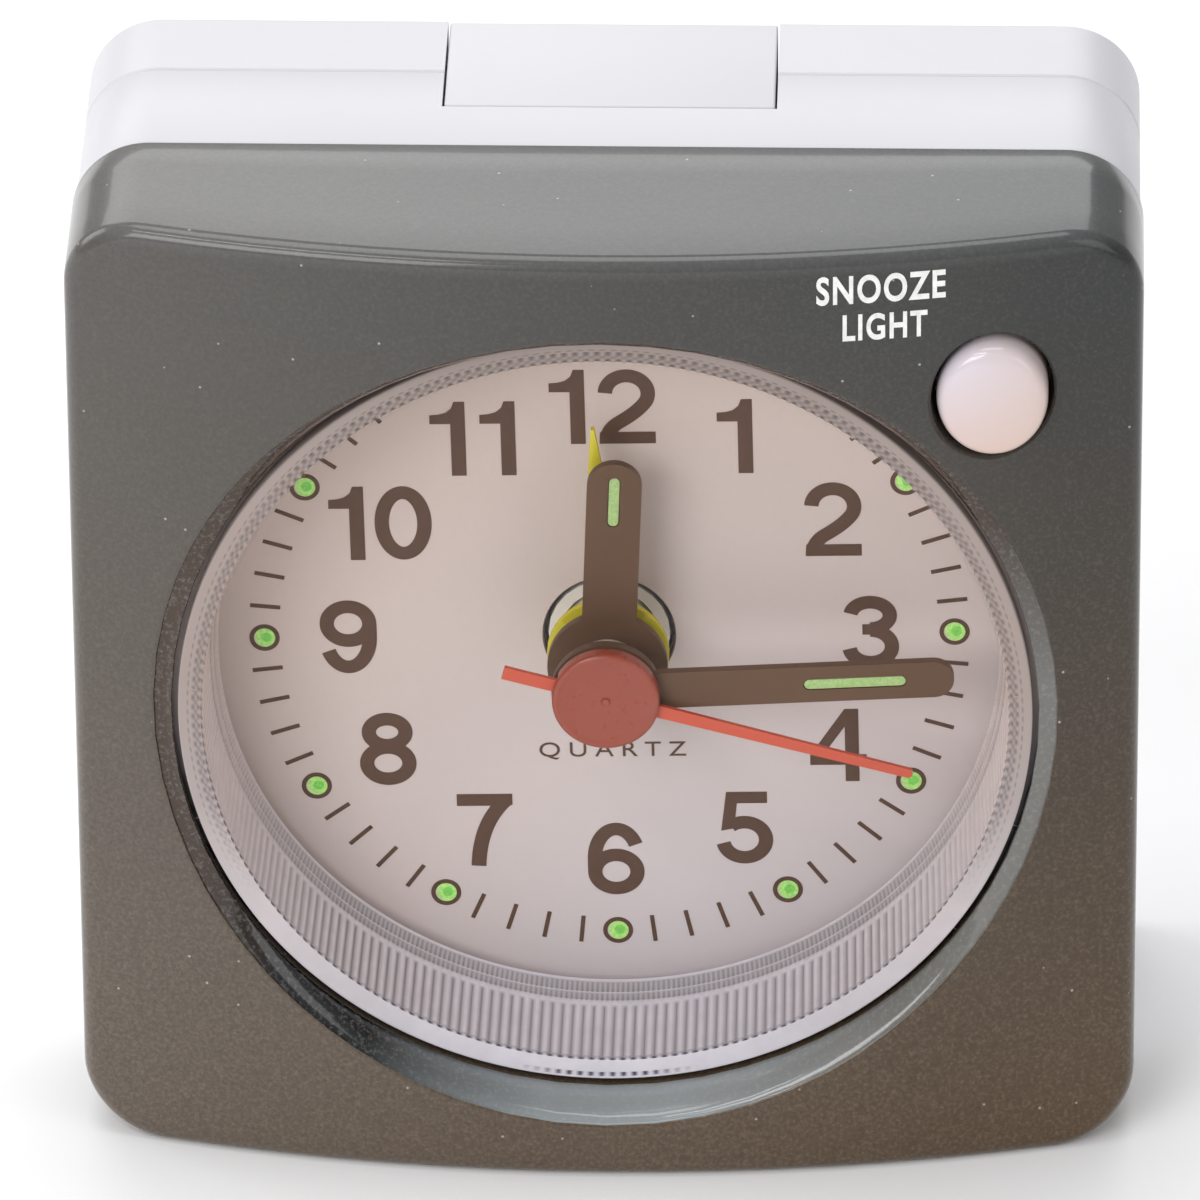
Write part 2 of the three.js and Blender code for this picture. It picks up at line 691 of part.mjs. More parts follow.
function thirdWheel() {
  return joined(
    gear(45, THIRD_WHEEL, ...THIRD_WHEEL_Y, thirdAxis),
    gear(5, THIRD_PINION, ...THIRD_PINION_Y, thirdAxis),
    arbor(THIRD_PINION_Y[0] - 0.6, ARBOR_BACK, thirdAxis),
  );
}

function intermediateWheel() {
  return joined(
    gear(36, INTERMEDIATE_WHEEL, ...INTERMEDIATE_WHEEL_Y, intermediateAxis),
    gear(6, INTERMEDIATE_PINION, ...INTERMEDIATE_PINION_Y, intermediateAxis),
    arbor(INTERMEDIATE_PINION_Y[0] - 0.4, ARBOR_BACK, intermediateAxis),
  );
}

function rotorPinion() {
  return joined(
    gear(6, ROTOR_PINION, ...ROTOR_PINION_Y, rotorAxis),
    arbor(MAGNET_Y[0] - 1, ARBOR_BACK, rotorAxis),
  );
}

function rotorMagnet() {
  return tube(ARBOR_RADIUS + 0.2, MAGNET_RADIUS, ...MAGNET_Y, rotorAxis, 20);
}

// The minute work turns the hour wheel, and its long stem carries the time knob.
function minuteWorkWheel() {
  return joined(
    gear(30, MINUTE_WORK_WHEEL, ...MINUTE_WORK_WHEEL_Y, timeStem),
    gear(7, MINUTE_WORK_PINION, ...MINUTE_WORK_PINION_Y, timeStem),
    arbor(MINUTE_WORK_PINION_Y[0] + 1, STEM_BACK, timeStem, STEM_RADIUS),
  );
}

function alarmSetPinion() {
  return joined(
    gear(12, ALARM_PINION, ...ALARM_PINION_Y, alarmStem),
    arbor(ALARM_PINION_Y[0] + 0.2, STEM_BACK, alarmStem, STEM_RADIUS),
  );
}

// ---------------------------------------------------------------- movement

function movementTray(floorFront, floorBack, wallFront, wallBack) {
  const side = MOVEMENT_HALF_WIDTH;
  const inner = side - MOVEMENT_WALL;
  const [low, high] = [MOVEMENT_BOTTOM, MOVEMENT_TOP];
  const wall = cut(
    block(-side, side, wallFront, wallBack, low, high),
    block(-inner, inner, wallFront - 1, wallBack + 1, low + MOVEMENT_WALL, high - MOVEMENT_WALL),
  );
  return joined(wall, block(-side, side, floorFront, floorBack, low, high));
}

function movementFront() {
  const tray = movementTray(MOVEMENT_FRONT, MOVEMENT_FLOOR, MOVEMENT_FRONT, MOVEMENT_SPLIT - 0.1);
  const neck = disc(NECK_RADIUS, DIAL_Y + 0.25, MOVEMENT_FLOOR, centre, 24);
  const bore = disc(NECK_BORE, 0, MOVEMENT_FLOOR + 0.4, centre, 24);
  const [bossFront, bossBack] = [MOVEMENT_FLOOR - 0.5, MOVEMENT_SPLIT - 0.2];
  const bosses = MOVEMENT_SCREWS.map((at) => disc(BOSS_RADIUS, bossFront, bossBack, at, 12));
  const pilotFront = MOVEMENT_FLOOR + 0.8;
  const pilots = MOVEMENT_SCREWS.map((at) => disc(BOSS_BORE, pilotFront, MOVEMENT_SPLIT + 1, at, 8));
  return cut(joined(tray, neck, ...bosses), bore, ...pilots);
}

function movementRear() {
  const tray = movementTray(MOVEMENT_CEILING, MOVEMENT_BACK, MOVEMENT_SPLIT + 0.1, MOVEMENT_BACK);
  const [front, back] = [MOVEMENT_CEILING - 1, MOVEMENT_BACK + 1];
  const stemHoles = [timeStem, alarmStem].map((at) => disc(STEM_HOLE_RADIUS, front, back, at, 12));
  const screwHoles = MOVEMENT_SCREWS.map((at) => disc(BOSS_BORE, front, back, at, 8));
  return cut(tray, ...stemHoles, ...screwHoles);
}

function movementScrew(at) {
  return joined(disc(1.4, 22.75, 23.4, at, 12), disc(0.6, 13, 23, at, 8));
}

function statorPlate() {
  const [low, high] = STATOR_Z;
  const plate = block(-STATOR_HALF_WIDTH, STATOR_HALF_WIDTH, ...STATOR_Y, low, high);
  const legs = [-LEG_X, LEG_X].map((x) =>
    block(x - LEG_HALF_WIDTH, x + LEG_HALF_WIDTH, ...STATOR_Y, high - 1, LEG_TOP),
  );
  return cut(joined(plate, ...legs), disc(STATOR_BORE, 17, 20, rotorAxis, 20));
}

function driveCoil() {
  const half = COIL_HALF_LENGTH;
  const winding = rod(COIL_RADIUS, -half, half, COIL_Y, COIL_Z, 20);
  return cut(winding, rod(COIL_BORE, -half - 1, half + 1, COIL_Y, COIL_Z, 12));
}

function coilCore() {
  return block(-STATOR_HALF_WIDTH, STATOR_HALF_WIDTH, ...CORE_Y, COIL_Z - 1, COIL_Z + 1);
}

function sounder() {
  const at = [0, SOUND_Z];
  return joined(disc(8.6, 23.7, 24.1, at, 28), disc(6.2, 23.2, 23.9, at, 24));
}

// ---------------------------------------------------------------- power

function battery() {
  const body = rod(BATTERY_RADIUS, -BATTERY_END, BATTERY_END - 1.4, BATTERY_Y, BATTERY_Z, 28);
  const nub = rod(2.6, BATTERY_END - 2, BATTERY_END, BATTERY_Y, BATTERY_Z, 14);
  return joined(body, nub);
}

class ContactHelix extends THREE.Curve {
  getPoint(t) {
    const angle = SPRING_TURNS * 2 * Math.PI * t;
    const radius = 2.2 + 1.8 * t;
    const x = -BATTERY_END - 0.5 - SPRING_LENGTH * (1 - t);
    return new THREE.Vector3(
      x,
      BATTERY_Y + radius * Math.cos(angle),
      BATTERY_Z + radius * Math.sin(angle),
    );
  }
}

// The coil spring that presses on the battery's flat end.
function contactSpring() {
  const wire = new THREE.Shape();
  wire.absarc(0, 0, 0.28, 0, 2 * Math.PI);
  const options = { extrudePath: new ContactHelix(), steps: 32, curveSegments: 3, bevelEnabled: false };
  return solidOf(new THREE.ExtrudeGeometry(wire, options));
}

function contactPlate(x) {
  return block(x, x + CONTACT_THICKNESS, ...CONTACT_Y, ...CONTACT_Z);
}

// ---------------------------------------------------------------- the clock

const WHITE = 0xf0eef3;
const BRASS = 0xc9a44a;
const STEEL = 0xb9bcc0;
const plastic = (color, roughness = 0.45) => ({ color, roughness, metalness: 0 });
const metal = (color, roughness = 0.35) => ({ color, roughness, metalness: 1 });

function piece(name, solid, finish) {
  const mesh = new THREE.Mesh(geometryOf(solid), new THREE.MeshStandardMaterial(finish));
  mesh.name = name;
  return mesh;
}

// Pieces drawn about the hands' axis, set on it and turned clockwise by an angle.
function onAxis(degrees, ...meshes) {
  const group = new THREE.Group();
  group.position.z = AXIS_Z;
  group.rotation.y = THREE.MathUtils.degToRad(degrees);
  group.add(...meshes);
  return group;
}

const caseParts = [
  piece('front_bezel', frontBezel(), plastic(0x5b5f60, 0.3)),
  piece('front_lens', frontLens(), plastic(0xe8ecf0, 0.05)),
  piece('ribbed_ring', ribbedRing(), plastic(0xb5b0b4, 0.15)),
  piece('dial_plate', dialPlate(), plastic(0xcfc4c4, 0.6)),
  piece('middle_case', middleCase(), plastic(WHITE)),
  piece('rear_case', rearCase(), plastic(WHITE)),
  ...CASE_SCREWS.map((at, i) => piece(`case_screw_${i + 1}`, caseScrew(at), metal(STEEL))),
];

const controls = [
  piece('snooze_button', snoozeButton(), plastic(0xf6efec, 0.3)),
  piece('alarm_bar', alarmBar(), plastic(WHITE)),
  piece('battery_door', batteryDoor(), plastic(WHITE)),
  piece('time_set_knob', settingKnob(timeStem), plastic(0x4a4d50)),
  piece('alarm_set_knob', settingKnob(alarmStem), plastic(0x4a4d50)),
];

const handSets = [
  onAxis(ALARM_ANGLE, piece('alarm_hand', alarmHand(), plastic(0xd7cd3c, 0.5))),
  onAxis(HOUR_ANGLE, piece('hour_hand', barHand(HOUR_HUB, 1.7, 14.5, HOUR_HAND_Y), plastic(0x5a4132))),
  onAxis(
    MINUTE_ANGLE,
    piece('minute_hand', barHand(MINUTE_HUB, 1.25, 21.3, MINUTE_HAND_Y), plastic(0x5a4132)),
  ),
  onAxis(
    SECOND_ANGLE,
    piece('second_hand', secondHand(), plastic(0xc8503c, 0.35)),
    piece('second_hub_cap', secondCap(), plastic(0xab5d48, 0.35)),
  ),
  onAxis(
    0,
    piece('alarm_wheel', alarmWheel(), plastic(0xe6e2d8)),
    piece('hour_wheel', hourWheel(), plastic(0xd8d6cf)),
    piece('centre_wheel', centreWheel(), metal(BRASS)),
    piece('second_wheel', secondWheel(), plastic(0xece9df)),
  ),
];

const train = [
  piece('third_wheel', thirdWheel(), plastic(0xe3dfd2)),
  piece('intermediate_wheel', intermediateWheel(), plastic(0xe3dfd2)),
  piece('rotor_pinion', rotorPinion(), plastic(0x2f6fb0)),
  piece('rotor_magnet', rotorMagnet(), metal(0x55585c, 0.5)),
  piece('minute_work_wheel', minuteWorkWheel(), plastic(0xe3dfd2)),
  piece('alarm_set_pinion', alarmSetPinion(), plastic(0xe3dfd2)),
];

const movement = [
  piece('movement_front', movementFront(), plastic(0xd9d5cc)),
  piece('movement_rear', movementRear(), plastic(0xd9d5cc)),
  ...MOVEMENT_SCREWS.map((at, i) => piece(`movement_screw_${i + 1}`, movementScrew(at), metal(STEEL))),
  piece('circuit_board', block(-15, 15, 12.3, 13.3, 43.5, 54), plastic(0x2e6b3a)),
  piece('controller_chip', disc(2.4, 13.4, 14, [-9.5, 49], 20), plastic(0x17181a)),
  piece('quartz_crystal', rod(1, 8, 14, 14.6, 46.5, 16), metal(0xd0d2d4)),
  piece('stator_plate', statorPlate(), metal(0x9a9da0)),
  piece('drive_coil', driveCoil(), metal(0xb4622d)),
  piece('coil_core', coilCore(), metal(0x8c8f92)),
  piece('sounder', sounder(), metal(0xc8a860)),
];

const electrics = [
  piece('alarm_switch', block(-4, 4, 17.5, 22.8, 56.2, 60.2), plastic(0x202225)),
  piece('snooze_switch', block(BUTTON_X - 2.2, BUTTON_X + 2.2, 5.9, 8, 52.7, 57.1), plastic(0x202225)),
  piece('switch_board', block(21.4, 28, 8.2, 8.9, 51.6, 57.6), plastic(0x2e6b3a)),
  piece('dial_lamp', disc(1.2, 2, 6, [0, 60.6], 16), plastic(0xf4f0d8, 0.1)),
  piece('lamp_holder', block(-3, 3, 6.2, 8.8, 60.1, 62.4), plastic(0xe6e2d8)),
  piece('battery', battery(), metal(0x4d7f5a, 0.3)),
  piece('positive_contact', contactPlate(BATTERY_END + 0.3), metal(STEEL)),
  piece('negative_contact', contactPlate(-BATTERY_END - 4.5), metal(STEEL)),
  piece('contact_spring', contactSpring(), metal(STEEL)),
];

const clock = new THREE.Group();
clock.add(...caseParts, ...controls, ...handSets, ...train, ...movement, ...electrics);
clock.position.y = (FACE_BULGE - KNOB_BACK) / 2;

export default clock;
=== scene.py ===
from math import atan2, cos, degrees, hypot, pi, radians, sin, sqrt

import bmesh
import bpy
import numpy as np
from mathutils import Matrix, Vector


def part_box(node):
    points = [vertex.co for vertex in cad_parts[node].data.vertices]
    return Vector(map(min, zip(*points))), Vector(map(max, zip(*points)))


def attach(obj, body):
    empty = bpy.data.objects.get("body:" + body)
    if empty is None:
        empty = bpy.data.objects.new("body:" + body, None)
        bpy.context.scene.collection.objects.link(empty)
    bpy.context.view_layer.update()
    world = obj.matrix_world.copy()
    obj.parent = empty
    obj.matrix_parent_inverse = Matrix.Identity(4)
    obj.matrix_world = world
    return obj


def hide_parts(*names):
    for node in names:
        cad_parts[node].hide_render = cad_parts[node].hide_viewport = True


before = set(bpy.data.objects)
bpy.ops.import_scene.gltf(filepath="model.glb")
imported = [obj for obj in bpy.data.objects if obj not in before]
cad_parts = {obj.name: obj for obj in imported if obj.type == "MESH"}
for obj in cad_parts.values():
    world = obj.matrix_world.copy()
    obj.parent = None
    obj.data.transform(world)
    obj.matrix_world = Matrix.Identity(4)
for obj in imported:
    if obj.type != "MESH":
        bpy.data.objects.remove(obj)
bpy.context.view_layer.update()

# A small quartz alarm clock, modelled in millimetres and then set into the frame, which is in metres.
# Pieces are drawn with y = 0 where the curved face meets the case's sides, and z = 0 on the base.
# x runs to the right as one looks at the face, and y runs away from the viewer.

# ---- sizes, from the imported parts


def box_mm(node):
    low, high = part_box(node)
    return low * 1000, high * 1000


FACE_BULGE = 5.1
BEZEL_LOW, BEZEL_HIGH = box_mm("front_bezel")
EDGE_Y = BEZEL_LOW.y + FACE_BULGE


def depth_range(node):
    """A part's front and back, measured from the face's side edges."""
    low, high = box_mm(node)
    return low.y - EDGE_Y, high.y - EDGE_Y


def middle_of(node):
    """A part's middle as (x, z)."""
    low, high = box_mm(node)
    return (low.x + high.x) / 2, (low.z + high.z) / 2


WIDTH = BEZEL_HIGH.x - BEZEL_LOW.x
HEIGHT = BEZEL_HIGH.z
HALF_WIDTH = WIDTH / 2
FACE_RADIUS = (FACE_BULGE**2 + HALF_WIDTH**2) / (2 * FACE_BULGE)
FACE_AXIS_Y = FACE_RADIUS - FACE_BULGE
BEZEL_BACK = depth_range("front_bezel")[1]
TOP_RADIUS = 4.9
BOTTOM_RADIUS = 5.0
WALL = 2.0
WHITE_INSET = 0.2

AXIS_X, AXIS_Z = middle_of("dial_plate")
OPENING_RADIUS = 28.0
RIM_RADIUS = 26.84
LENS_FRONT, LENS_BACK = depth_range("front_lens")
RING_FRONT, RING_BACK = depth_range("ribbed_ring")
DIAL_FRONT, DIAL_BACK = depth_range("dial_plate")
DIAL_RADIUS = (box_mm("dial_plate")[1].x - box_mm("dial_plate")[0].x) / 2

MIDDLE_FRONT, MIDDLE_BACK = 10.05, depth_range("middle_case")[1]
REAR_BACK = depth_range("rear_case")[1]
REAR_FRONT = MIDDLE_BACK + 0.15
REAR_EDGE_RADIUS = 0.6
PANEL_FRONT = 24.4

BUTTON_AT = middle_of("snooze_button")
BUTTON_BACK = depth_range("snooze_button")[1]
BUTTON_RADIUS = 3.42
BUTTON_HOLE_RADIUS = 3.74
BUTTON_STRETCH = 1.13

BAR_FRONT, BAR_BACK = depth_range("alarm_bar")
BAR_HALF_WIDTH, _, BAR_TOP = box_mm("alarm_bar")[1]
BAR_GAP = 0.3

DOOR_LOW, DOOR_HIGH = box_mm("battery_door")
DOOR_FRONT, DOOR_BACK = depth_range("battery_door")

KNOBS = ["time_set_knob", "alarm_set_knob"]
KNOB_FRONT, KNOB_BACK = depth_range("time_set_knob")
WELL_RADIUS = 6.5
WELL_FLOOR = 24.0
CASE_SCREWS = [f"case_screw_{i}" for i in range(1, 5)]

# The hands' directions, in degrees clockwise from twelve, as seen from the front.
HOUR_ANGLE = 2.2
MINUTE_ANGLE = 86.7
SECOND_ANGLE = 105.5
ALARM_ANGLE = -3.2

# ---- mesh helpers

TO_FRAME = Matrix.Scale(0.001, 4) @ Matrix.Translation((0, EDGE_Y, 0))
MERGE = 1e-4


def placed(name, data):
    """A new object in the scene."""
    made = bpy.data.objects.new(name, data)
    bpy.context.scene.collection.objects.link(made)
    return made


def new_object(name, points, faces):
    """A mesh object in millimetres, with doubled points merged and its faces pointing out."""
    data = bpy.data.meshes.new(name)
    data.from_pydata([tuple(float(c) for c in p) for p in points], [], faces)
    made = placed(name, data)
    clean(made)
    return made


def clean(obj):
    work = bmesh.new()
    work.from_mesh(obj.data)
    bmesh.ops.remove_doubles(work, verts=work.verts, dist=MERGE)
    bmesh.ops.dissolve_degenerate(work, dist=MERGE, edges=work.edges)
    bmesh.ops.recalc_face_normals(work, faces=work.faces)
    work.to_mesh(obj.data)
    work.free()


def apply_modifiers(obj):
    graph = bpy.context.evaluated_depsgraph_get()
    data = bpy.data.meshes.new_from_object(obj.evaluated_get(graph))
    old = obj.data
    obj.modifiers.clear()
    obj.data = data
    bpy.data.meshes.remove(old)


def remove(obj):
    data = obj.data
    bpy.data.objects.remove(obj)
    bpy.data.meshes.remove(data)


def combine(obj, operation, *tools):
    """Joins, cuts or intersects obj with closed tools, which are used up."""
    for tool in tools:
        modifier = obj.modifiers.new("combine", "BOOLEAN")
        modifier.operation = operation
        modifier.solver = "EXACT"
        modifier.object = tool
        apply_modifiers(obj)
        remove(tool)
    return obj


def cut(obj, *tools):
    return combine(obj, "DIFFERENCE", *tools)


def join(obj, *tools):
    return combine(obj, "UNION", *tools)


def rounded(obj, width, segments=2, angle=40):
    """Rounds the edges that are sharper than an angle in degrees."""
    modifier = obj.modifiers.new("rounded", "BEVEL")
    modifier.width = width
    modifier.segments = segments
    modifier.limit_method = "ANGLE"
    modifier.angle_limit = radians(angle)
    modifier.use_clamp_overlap = True
    apply_modifiers(obj)
    return obj


def loft(name, rows, around=True, through=False):
    """A skin over rows of points. around closes each row, and through joins the last row to the first.
    Rows that are open at the two ends are capped."""
    count = len(rows[0])
    points = [p for row in rows for p in row]
    faces = []
    row_pairs = len(rows) if through else len(rows) - 1
    column_pairs = count if around else count - 1
    for r in range(row_pairs):
        s = (r + 1) % len(rows)
        for c in range(column_pairs):
            d = (c + 1) % count
            faces.append((r * count + c, r * count + d, s * count + d, s * count + c))
    if around and not through:
        faces.append(tuple(range(count)))
        faces.append(tuple((len(rows) - 1) * count + c for c in range(count)))
    return new_object(name, points, faces)


def circle(radius, steps, at=(0.0, 0.0), start=0.0):
    angles = [start + 2 * pi * i / steps for i in range(steps)]
    return [(at[0] + radius * cos(a), at[1] + radius * sin(a)) for a in angles]


def at_depth(outline, y):
    """Points drawn in x and z, set at one depth."""
    return [(x, y, z) for x, z in outline]


def on_face(outline, lift=0.0):
    """Points drawn in x and z, set on the curved face or behind it."""
    return [(x, face_y(x) + lift, z) for x, z in outline]


def blend(first, second, share):
    """The point a share of the way from the first to the second."""
    return tuple(a + (b - a) * share for a, b in zip(first, second))


def quarter(count, start=0):
    """Angles over a quarter turn."""
    return [pi / 2 * i / count for i in range(start, count + 1)]


def turned(name, profile, at=(0.0, 0.0), steps=96, closed=False):
    """A profile of (radius, y) points turned about an axis along y."""
    rows = [at_depth(circle(max(r, 1e-6), steps, at), y) for r, y in profile]
    return loft(name, rows, through=closed)


def cylinder(radius, front, back, at=(0.0, 0.0), steps=64):
    """A tool, or a plain hub, along y."""
    return turned("cylinder", [(0, front), (radius, front), (radius, back), (0, back)], at, steps)


def prism(name, outline, front, back):
    return loft(name, [at_depth(outline, front), at_depth(outline, back)])


def block(name, x0, x1, y0, y1, z0, z1):
    return prism(name, [(x0, z0), (x1, z0), (x1, z1), (x0, z1)], y0, y1)


def arc(centre, radii, start, end, steps):
    """Points on a circle's or an ellipse's arc, in degrees anticlockwise from +x."""
    across, up = radii if isinstance(radii, tuple) else (radii, radii)
    angles = [radians(start + (end - start) * i / steps) for i in range(steps + 1)]
    return [(centre[0] + across * cos(a), centre[1] + up * sin(a)) for a in angles]


def case_outline(inset, bottom=0.0, corner_steps=20, side_steps=16):
    """The case's rounded outline. Outlines with other insets have matching points."""
    side = HALF_WIDTH - inset
    low, high = bottom + inset, HEIGHT - inset
    top = max(TOP_RADIUS - inset, 0.4)
    base = max(BOTTOM_RADIUS - inset, 0.4)
    corners = [
        (side - base, low + base, base, -90),
        (side - top, high - top, top, 0),
        (-side + top, high - top, top, 90),
        (-side + base, low + base, base, 180),
    ]
    outline = []
    for i, (x, z, radius, start) in enumerate(corners):
        turn = arc((x, z), radius, start, start + 90, corner_steps)
        after = corners[(i + 1) % 4]
        goal = arc(after[:2], after[2], after[3], after[3], 1)[0]
        outline += turn + [blend(turn[-1], goal, j / side_steps) for j in range(1, side_steps)]
    return outline


def face_y(x):
    """The curved face's depth."""
    return FACE_AXIS_Y - sqrt(FACE_RADIUS**2 - x * x)


def settle(obj, body, finishes, replaces=(), smooth=35.0):
    """Sets a piece drawn in millimetres into the frame, with its materials, body and material slot."""
    painted = [polygon.material_index for polygon in obj.data.polygons]
    obj.data.transform(TO_FRAME)
    obj.data.materials.clear()
    for finish in finishes if isinstance(finishes, list) else [finishes]:
        obj.data.materials.append(finish)
    obj.data.polygons.foreach_set("material_index", painted)
    obj.data.shade_smooth()
    obj.data.set_sharp_from_angle(angle=radians(smooth))
    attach(obj, body)
    if replaces:
        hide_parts(*replaces)
    return obj


def paint(obj, chosen, index):
    """Gives a piece's faces another of its materials, where chosen(centre, normal) says so. Before settle."""
    for polygon in obj.data.polygons:
        if chosen(polygon.center, polygon.normal):
            polygon.material_index = index


# ---- materials


class Finish:
    """A material's node tree, with short ways to add nodes. Lengths in it are in millimetres."""

    def __init__(self, name):
        self.material = bpy.data.materials.new(name)
        self.material.use_nodes = True
        self.nodes = self.material.node_tree.nodes
        self.shader = self.nodes["Principled BSDF"]
        self.output = self.nodes["Material Output"]
        spot = self.add("ShaderNodeTexCoord", {}).outputs["Object"]
        self.place = self.add("ShaderNodeVectorMath", {0: spot, "Scale": 1000}, operation="SCALE").outputs[0]
        self.bumps = None

    def feed(self, node, inputs):
        """Sets a node's inputs, each to a plain value or to the socket that feeds it."""
        for name, value in inputs.items():
            if isinstance(value, bpy.types.NodeSocket):
                self.material.node_tree.links.new(value, node.inputs[name])
            else:
                node.inputs[name].default_value = value

    def add(self, kind, inputs, **settings):
        node = self.nodes.new(kind)
        for key, value in settings.items():
            setattr(node, key, value)
        self.feed(node, inputs)
        return node

    def done(self, **values):
        """The material, once the shader's own sockets are set: coat=... sets "Coat Weight"."""
        names = {
            "metallic": "Metallic",
            "specular": "Specular IOR Level",
            "coat": "Coat Weight",
            "coat_roughness": "Coat Roughness",
            "emission": "Emission Color",
            "emission_strength": "Emission Strength",
        }
        self.feed(self.shader, {names[key]: value for key, value in values.items()})
        return self.material

    def noise(self, size, detail=3.0, roughness=0.5, stretch=None):
        """Noise whose blobs are about size millimetres across, from 0 to 1."""
        source = self.place
        if stretch:
            source = self.add("ShaderNodeMapping", {"Vector": source, "Scale": stretch}).outputs[0]
        inputs = {"Vector": source, "Scale": 1 / size, "Detail": detail, "Roughness": roughness}
        return self.add("ShaderNodeTexNoise", inputs).outputs["Fac"]

    def speckle(self, size, share):
        """Round specks with cells of size millimetres, that cover about a share of the surface."""
        cells = self.add("ShaderNodeTexVoronoi", {"Vector": self.place, "Scale": 1 / size}, feature="F1")
        return self.between(cells.outputs["Distance"], share, share * 0.5)

    def between(self, value, low, high, to_low=0.0, to_high=1.0):
        """Maps a value from low..high to another range, and stays in it."""
        inputs = {"Value": value, "From Min": low, "From Max": high, "To Min": to_low, "To Max": to_high}
        return self.add("ShaderNodeMapRange", inputs).outputs[0]

    def along(self, axis, low, high, to_low=0.0, to_high=1.0):
        """Maps one coordinate, in millimetres, from low..high to another range."""
        split = self.add("ShaderNodeSeparateXYZ", {0: self.place})
        return self.between(split.outputs[axis], low, high, to_low, to_high)

    def times(self, first, second):
        return self.add("ShaderNodeMath", {0: first, 1: second}, operation="MULTIPLY").outputs[0]

    def ramp(self, value, *stops):
        """A colour ramp over (position, colour) stops."""
        node = self.add("ShaderNodeValToRGB", {0: value})
        elements = node.color_ramp.elements
        while len(elements) < len(stops):
            elements.new(1.0)
        for element, (position, color) in zip(elements, stops):
            element.position = position
            element.color = (*color, 1)
        return node.outputs[0]

    def tones(self, value, dark, light):
        """A noise's darker and lighter tone."""
        return self.ramp(value, (0.3, dark), (0.7, light))

    def mixed(self, factor, first, second):
        """A mix of two colours, each a socket or a tuple."""
        first, second = ((*c, 1) if isinstance(c, tuple) else c for c in (first, second))
        return self.add("ShaderNodeMix", {0: factor, 6: first, 7: second}, data_type="RGBA").outputs[2]

    def tinted(self, value, toned, tint, share):
        """Mixes in a tint, up to a share of it, where a noise is high."""
        return self.mixed(self.between(value, 0.3, 0.7, 0.0, share), toned, tint)

    def color(self, source):
        self.feed(self.shader, {"Base Color": source})

    def rough(self, value, low, high):
        """Roughness that follows a noise from low to high."""
        self.feed(self.shader, {"Roughness": self.between(value, 0.3, 0.7, low, high)})

    def bump(self, height, depth):
        """Adds a bump of a depth in millimetres, on top of the ones before."""
        inputs = {"Height": height, "Distance": depth / 1000, "Strength": 1.0}
        if self.bumps:
            inputs["Normal"] = self.bumps
        self.bumps = self.add("ShaderNodeBump", inputs).outputs[0]
        self.feed(self.shader, {"Normal": self.bumps})


def srgb(*channels):
    """A colour given as 0 to 255 screen values, as the linear colour that shaders take."""
    linear = [c / 255 for c in channels]
    return tuple(c / 12.92 if c <= 0.04045 else ((c + 0.055) / 1.055) ** 2.4 for c in linear)


def shade(color, factor):
    return tuple(min(c * factor, 1.0) for c in color)


def grained(name, color, roughness, spread=0.06, grain=0.9, grain_depth=0.012, specks=0.0, **sockets):
    """Moulded plastic: slow unevenness in colour, a fine grain, and roughness that varies a little."""
    finish = Finish(name)
    slow = finish.noise(14.0, 2.0)
    fine = finish.noise(grain, 4.0, 0.6)
    toned = finish.tones(slow, shade(color, 1 - spread), shade(color, 1 + spread))
    if specks:
        dust = finish.speckle(0.75, 0.16)
        toned = finish.mixed(finish.between(dust, 0, 1, 0, specks), toned, shade(color, 3.0))
    finish.color(toned)
    finish.rough(fine, roughness * 0.85, roughness * 1.15)
    finish.bump(fine, grain_depth)
    return finish.done(**sockets)


def bezel_finish():
    """Glossy dark grey plastic with faint flow marks and dust-fine speckle. It is warmer towards the base as
    a painted reflection, and lighter at the left and along the top edge as painted highlights.
    """
    finish = Finish("bezel_grey")
    slow = finish.noise(22.0, 2.0)
    flow = finish.noise(9.0, 3.0, 0.55, stretch=(0.35, 1.0, 1.6))
    cool = finish.tones(slow, srgb(42, 44, 43), srgb(48, 50, 49))
    # Painted reflection of a warm surface below: this warm tone takes over towards the base.
    warm = finish.tones(slow, srgb(78, 59, 38), srgb(84, 65, 44))
    height = finish.along("Z", 60.0, 2.0)
    toned = finish.mixed(height, cool, warm)
    # Painted reflection: the face is lighter and warmer towards the left.
    side = finish.along("X", 30.0, -33.0, 0.0, 0.4)
    toned = finish.mixed(side, toned, srgb(118, 112, 106))
    # Painted highlight along the top edge.
    painted_top_sheen = finish.along("Z", 64.0, 65.2, 0.0, 0.2)
    toned = finish.mixed(painted_top_sheen, toned, srgb(138, 140, 144))
    flakes = finish.noise(0.26, 2.0, 0.7)
    lower = finish.along("Z", 50.0, 8.0, 0.4, 1.0)
    bright = finish.times(finish.between(flakes, 0.5, 0.72, 0.0, 0.13), lower)
    dark = finish.times(finish.between(flakes, 0.5, 0.3, 0.0, 0.26), lower)
    toned = finish.mixed(bright, toned, srgb(172, 160, 140))
    toned = finish.mixed(dark, toned, srgb(24, 22, 18))
    dust = finish.speckle(2.2, 0.05)
    toned = finish.mixed(finish.between(dust, 0, 1, 0, 0.5), toned, srgb(214, 212, 206))
    finish.color(toned)
    finish.rough(flow, 0.16, 0.24)
    finish.bump(finish.noise(5.0, 2.0), 0.02)
    finish.bump(finish.noise(0.5, 2.0), 0.002)
    return finish.done(coat=0.3, coat_roughness=0.05, specular=0.3)


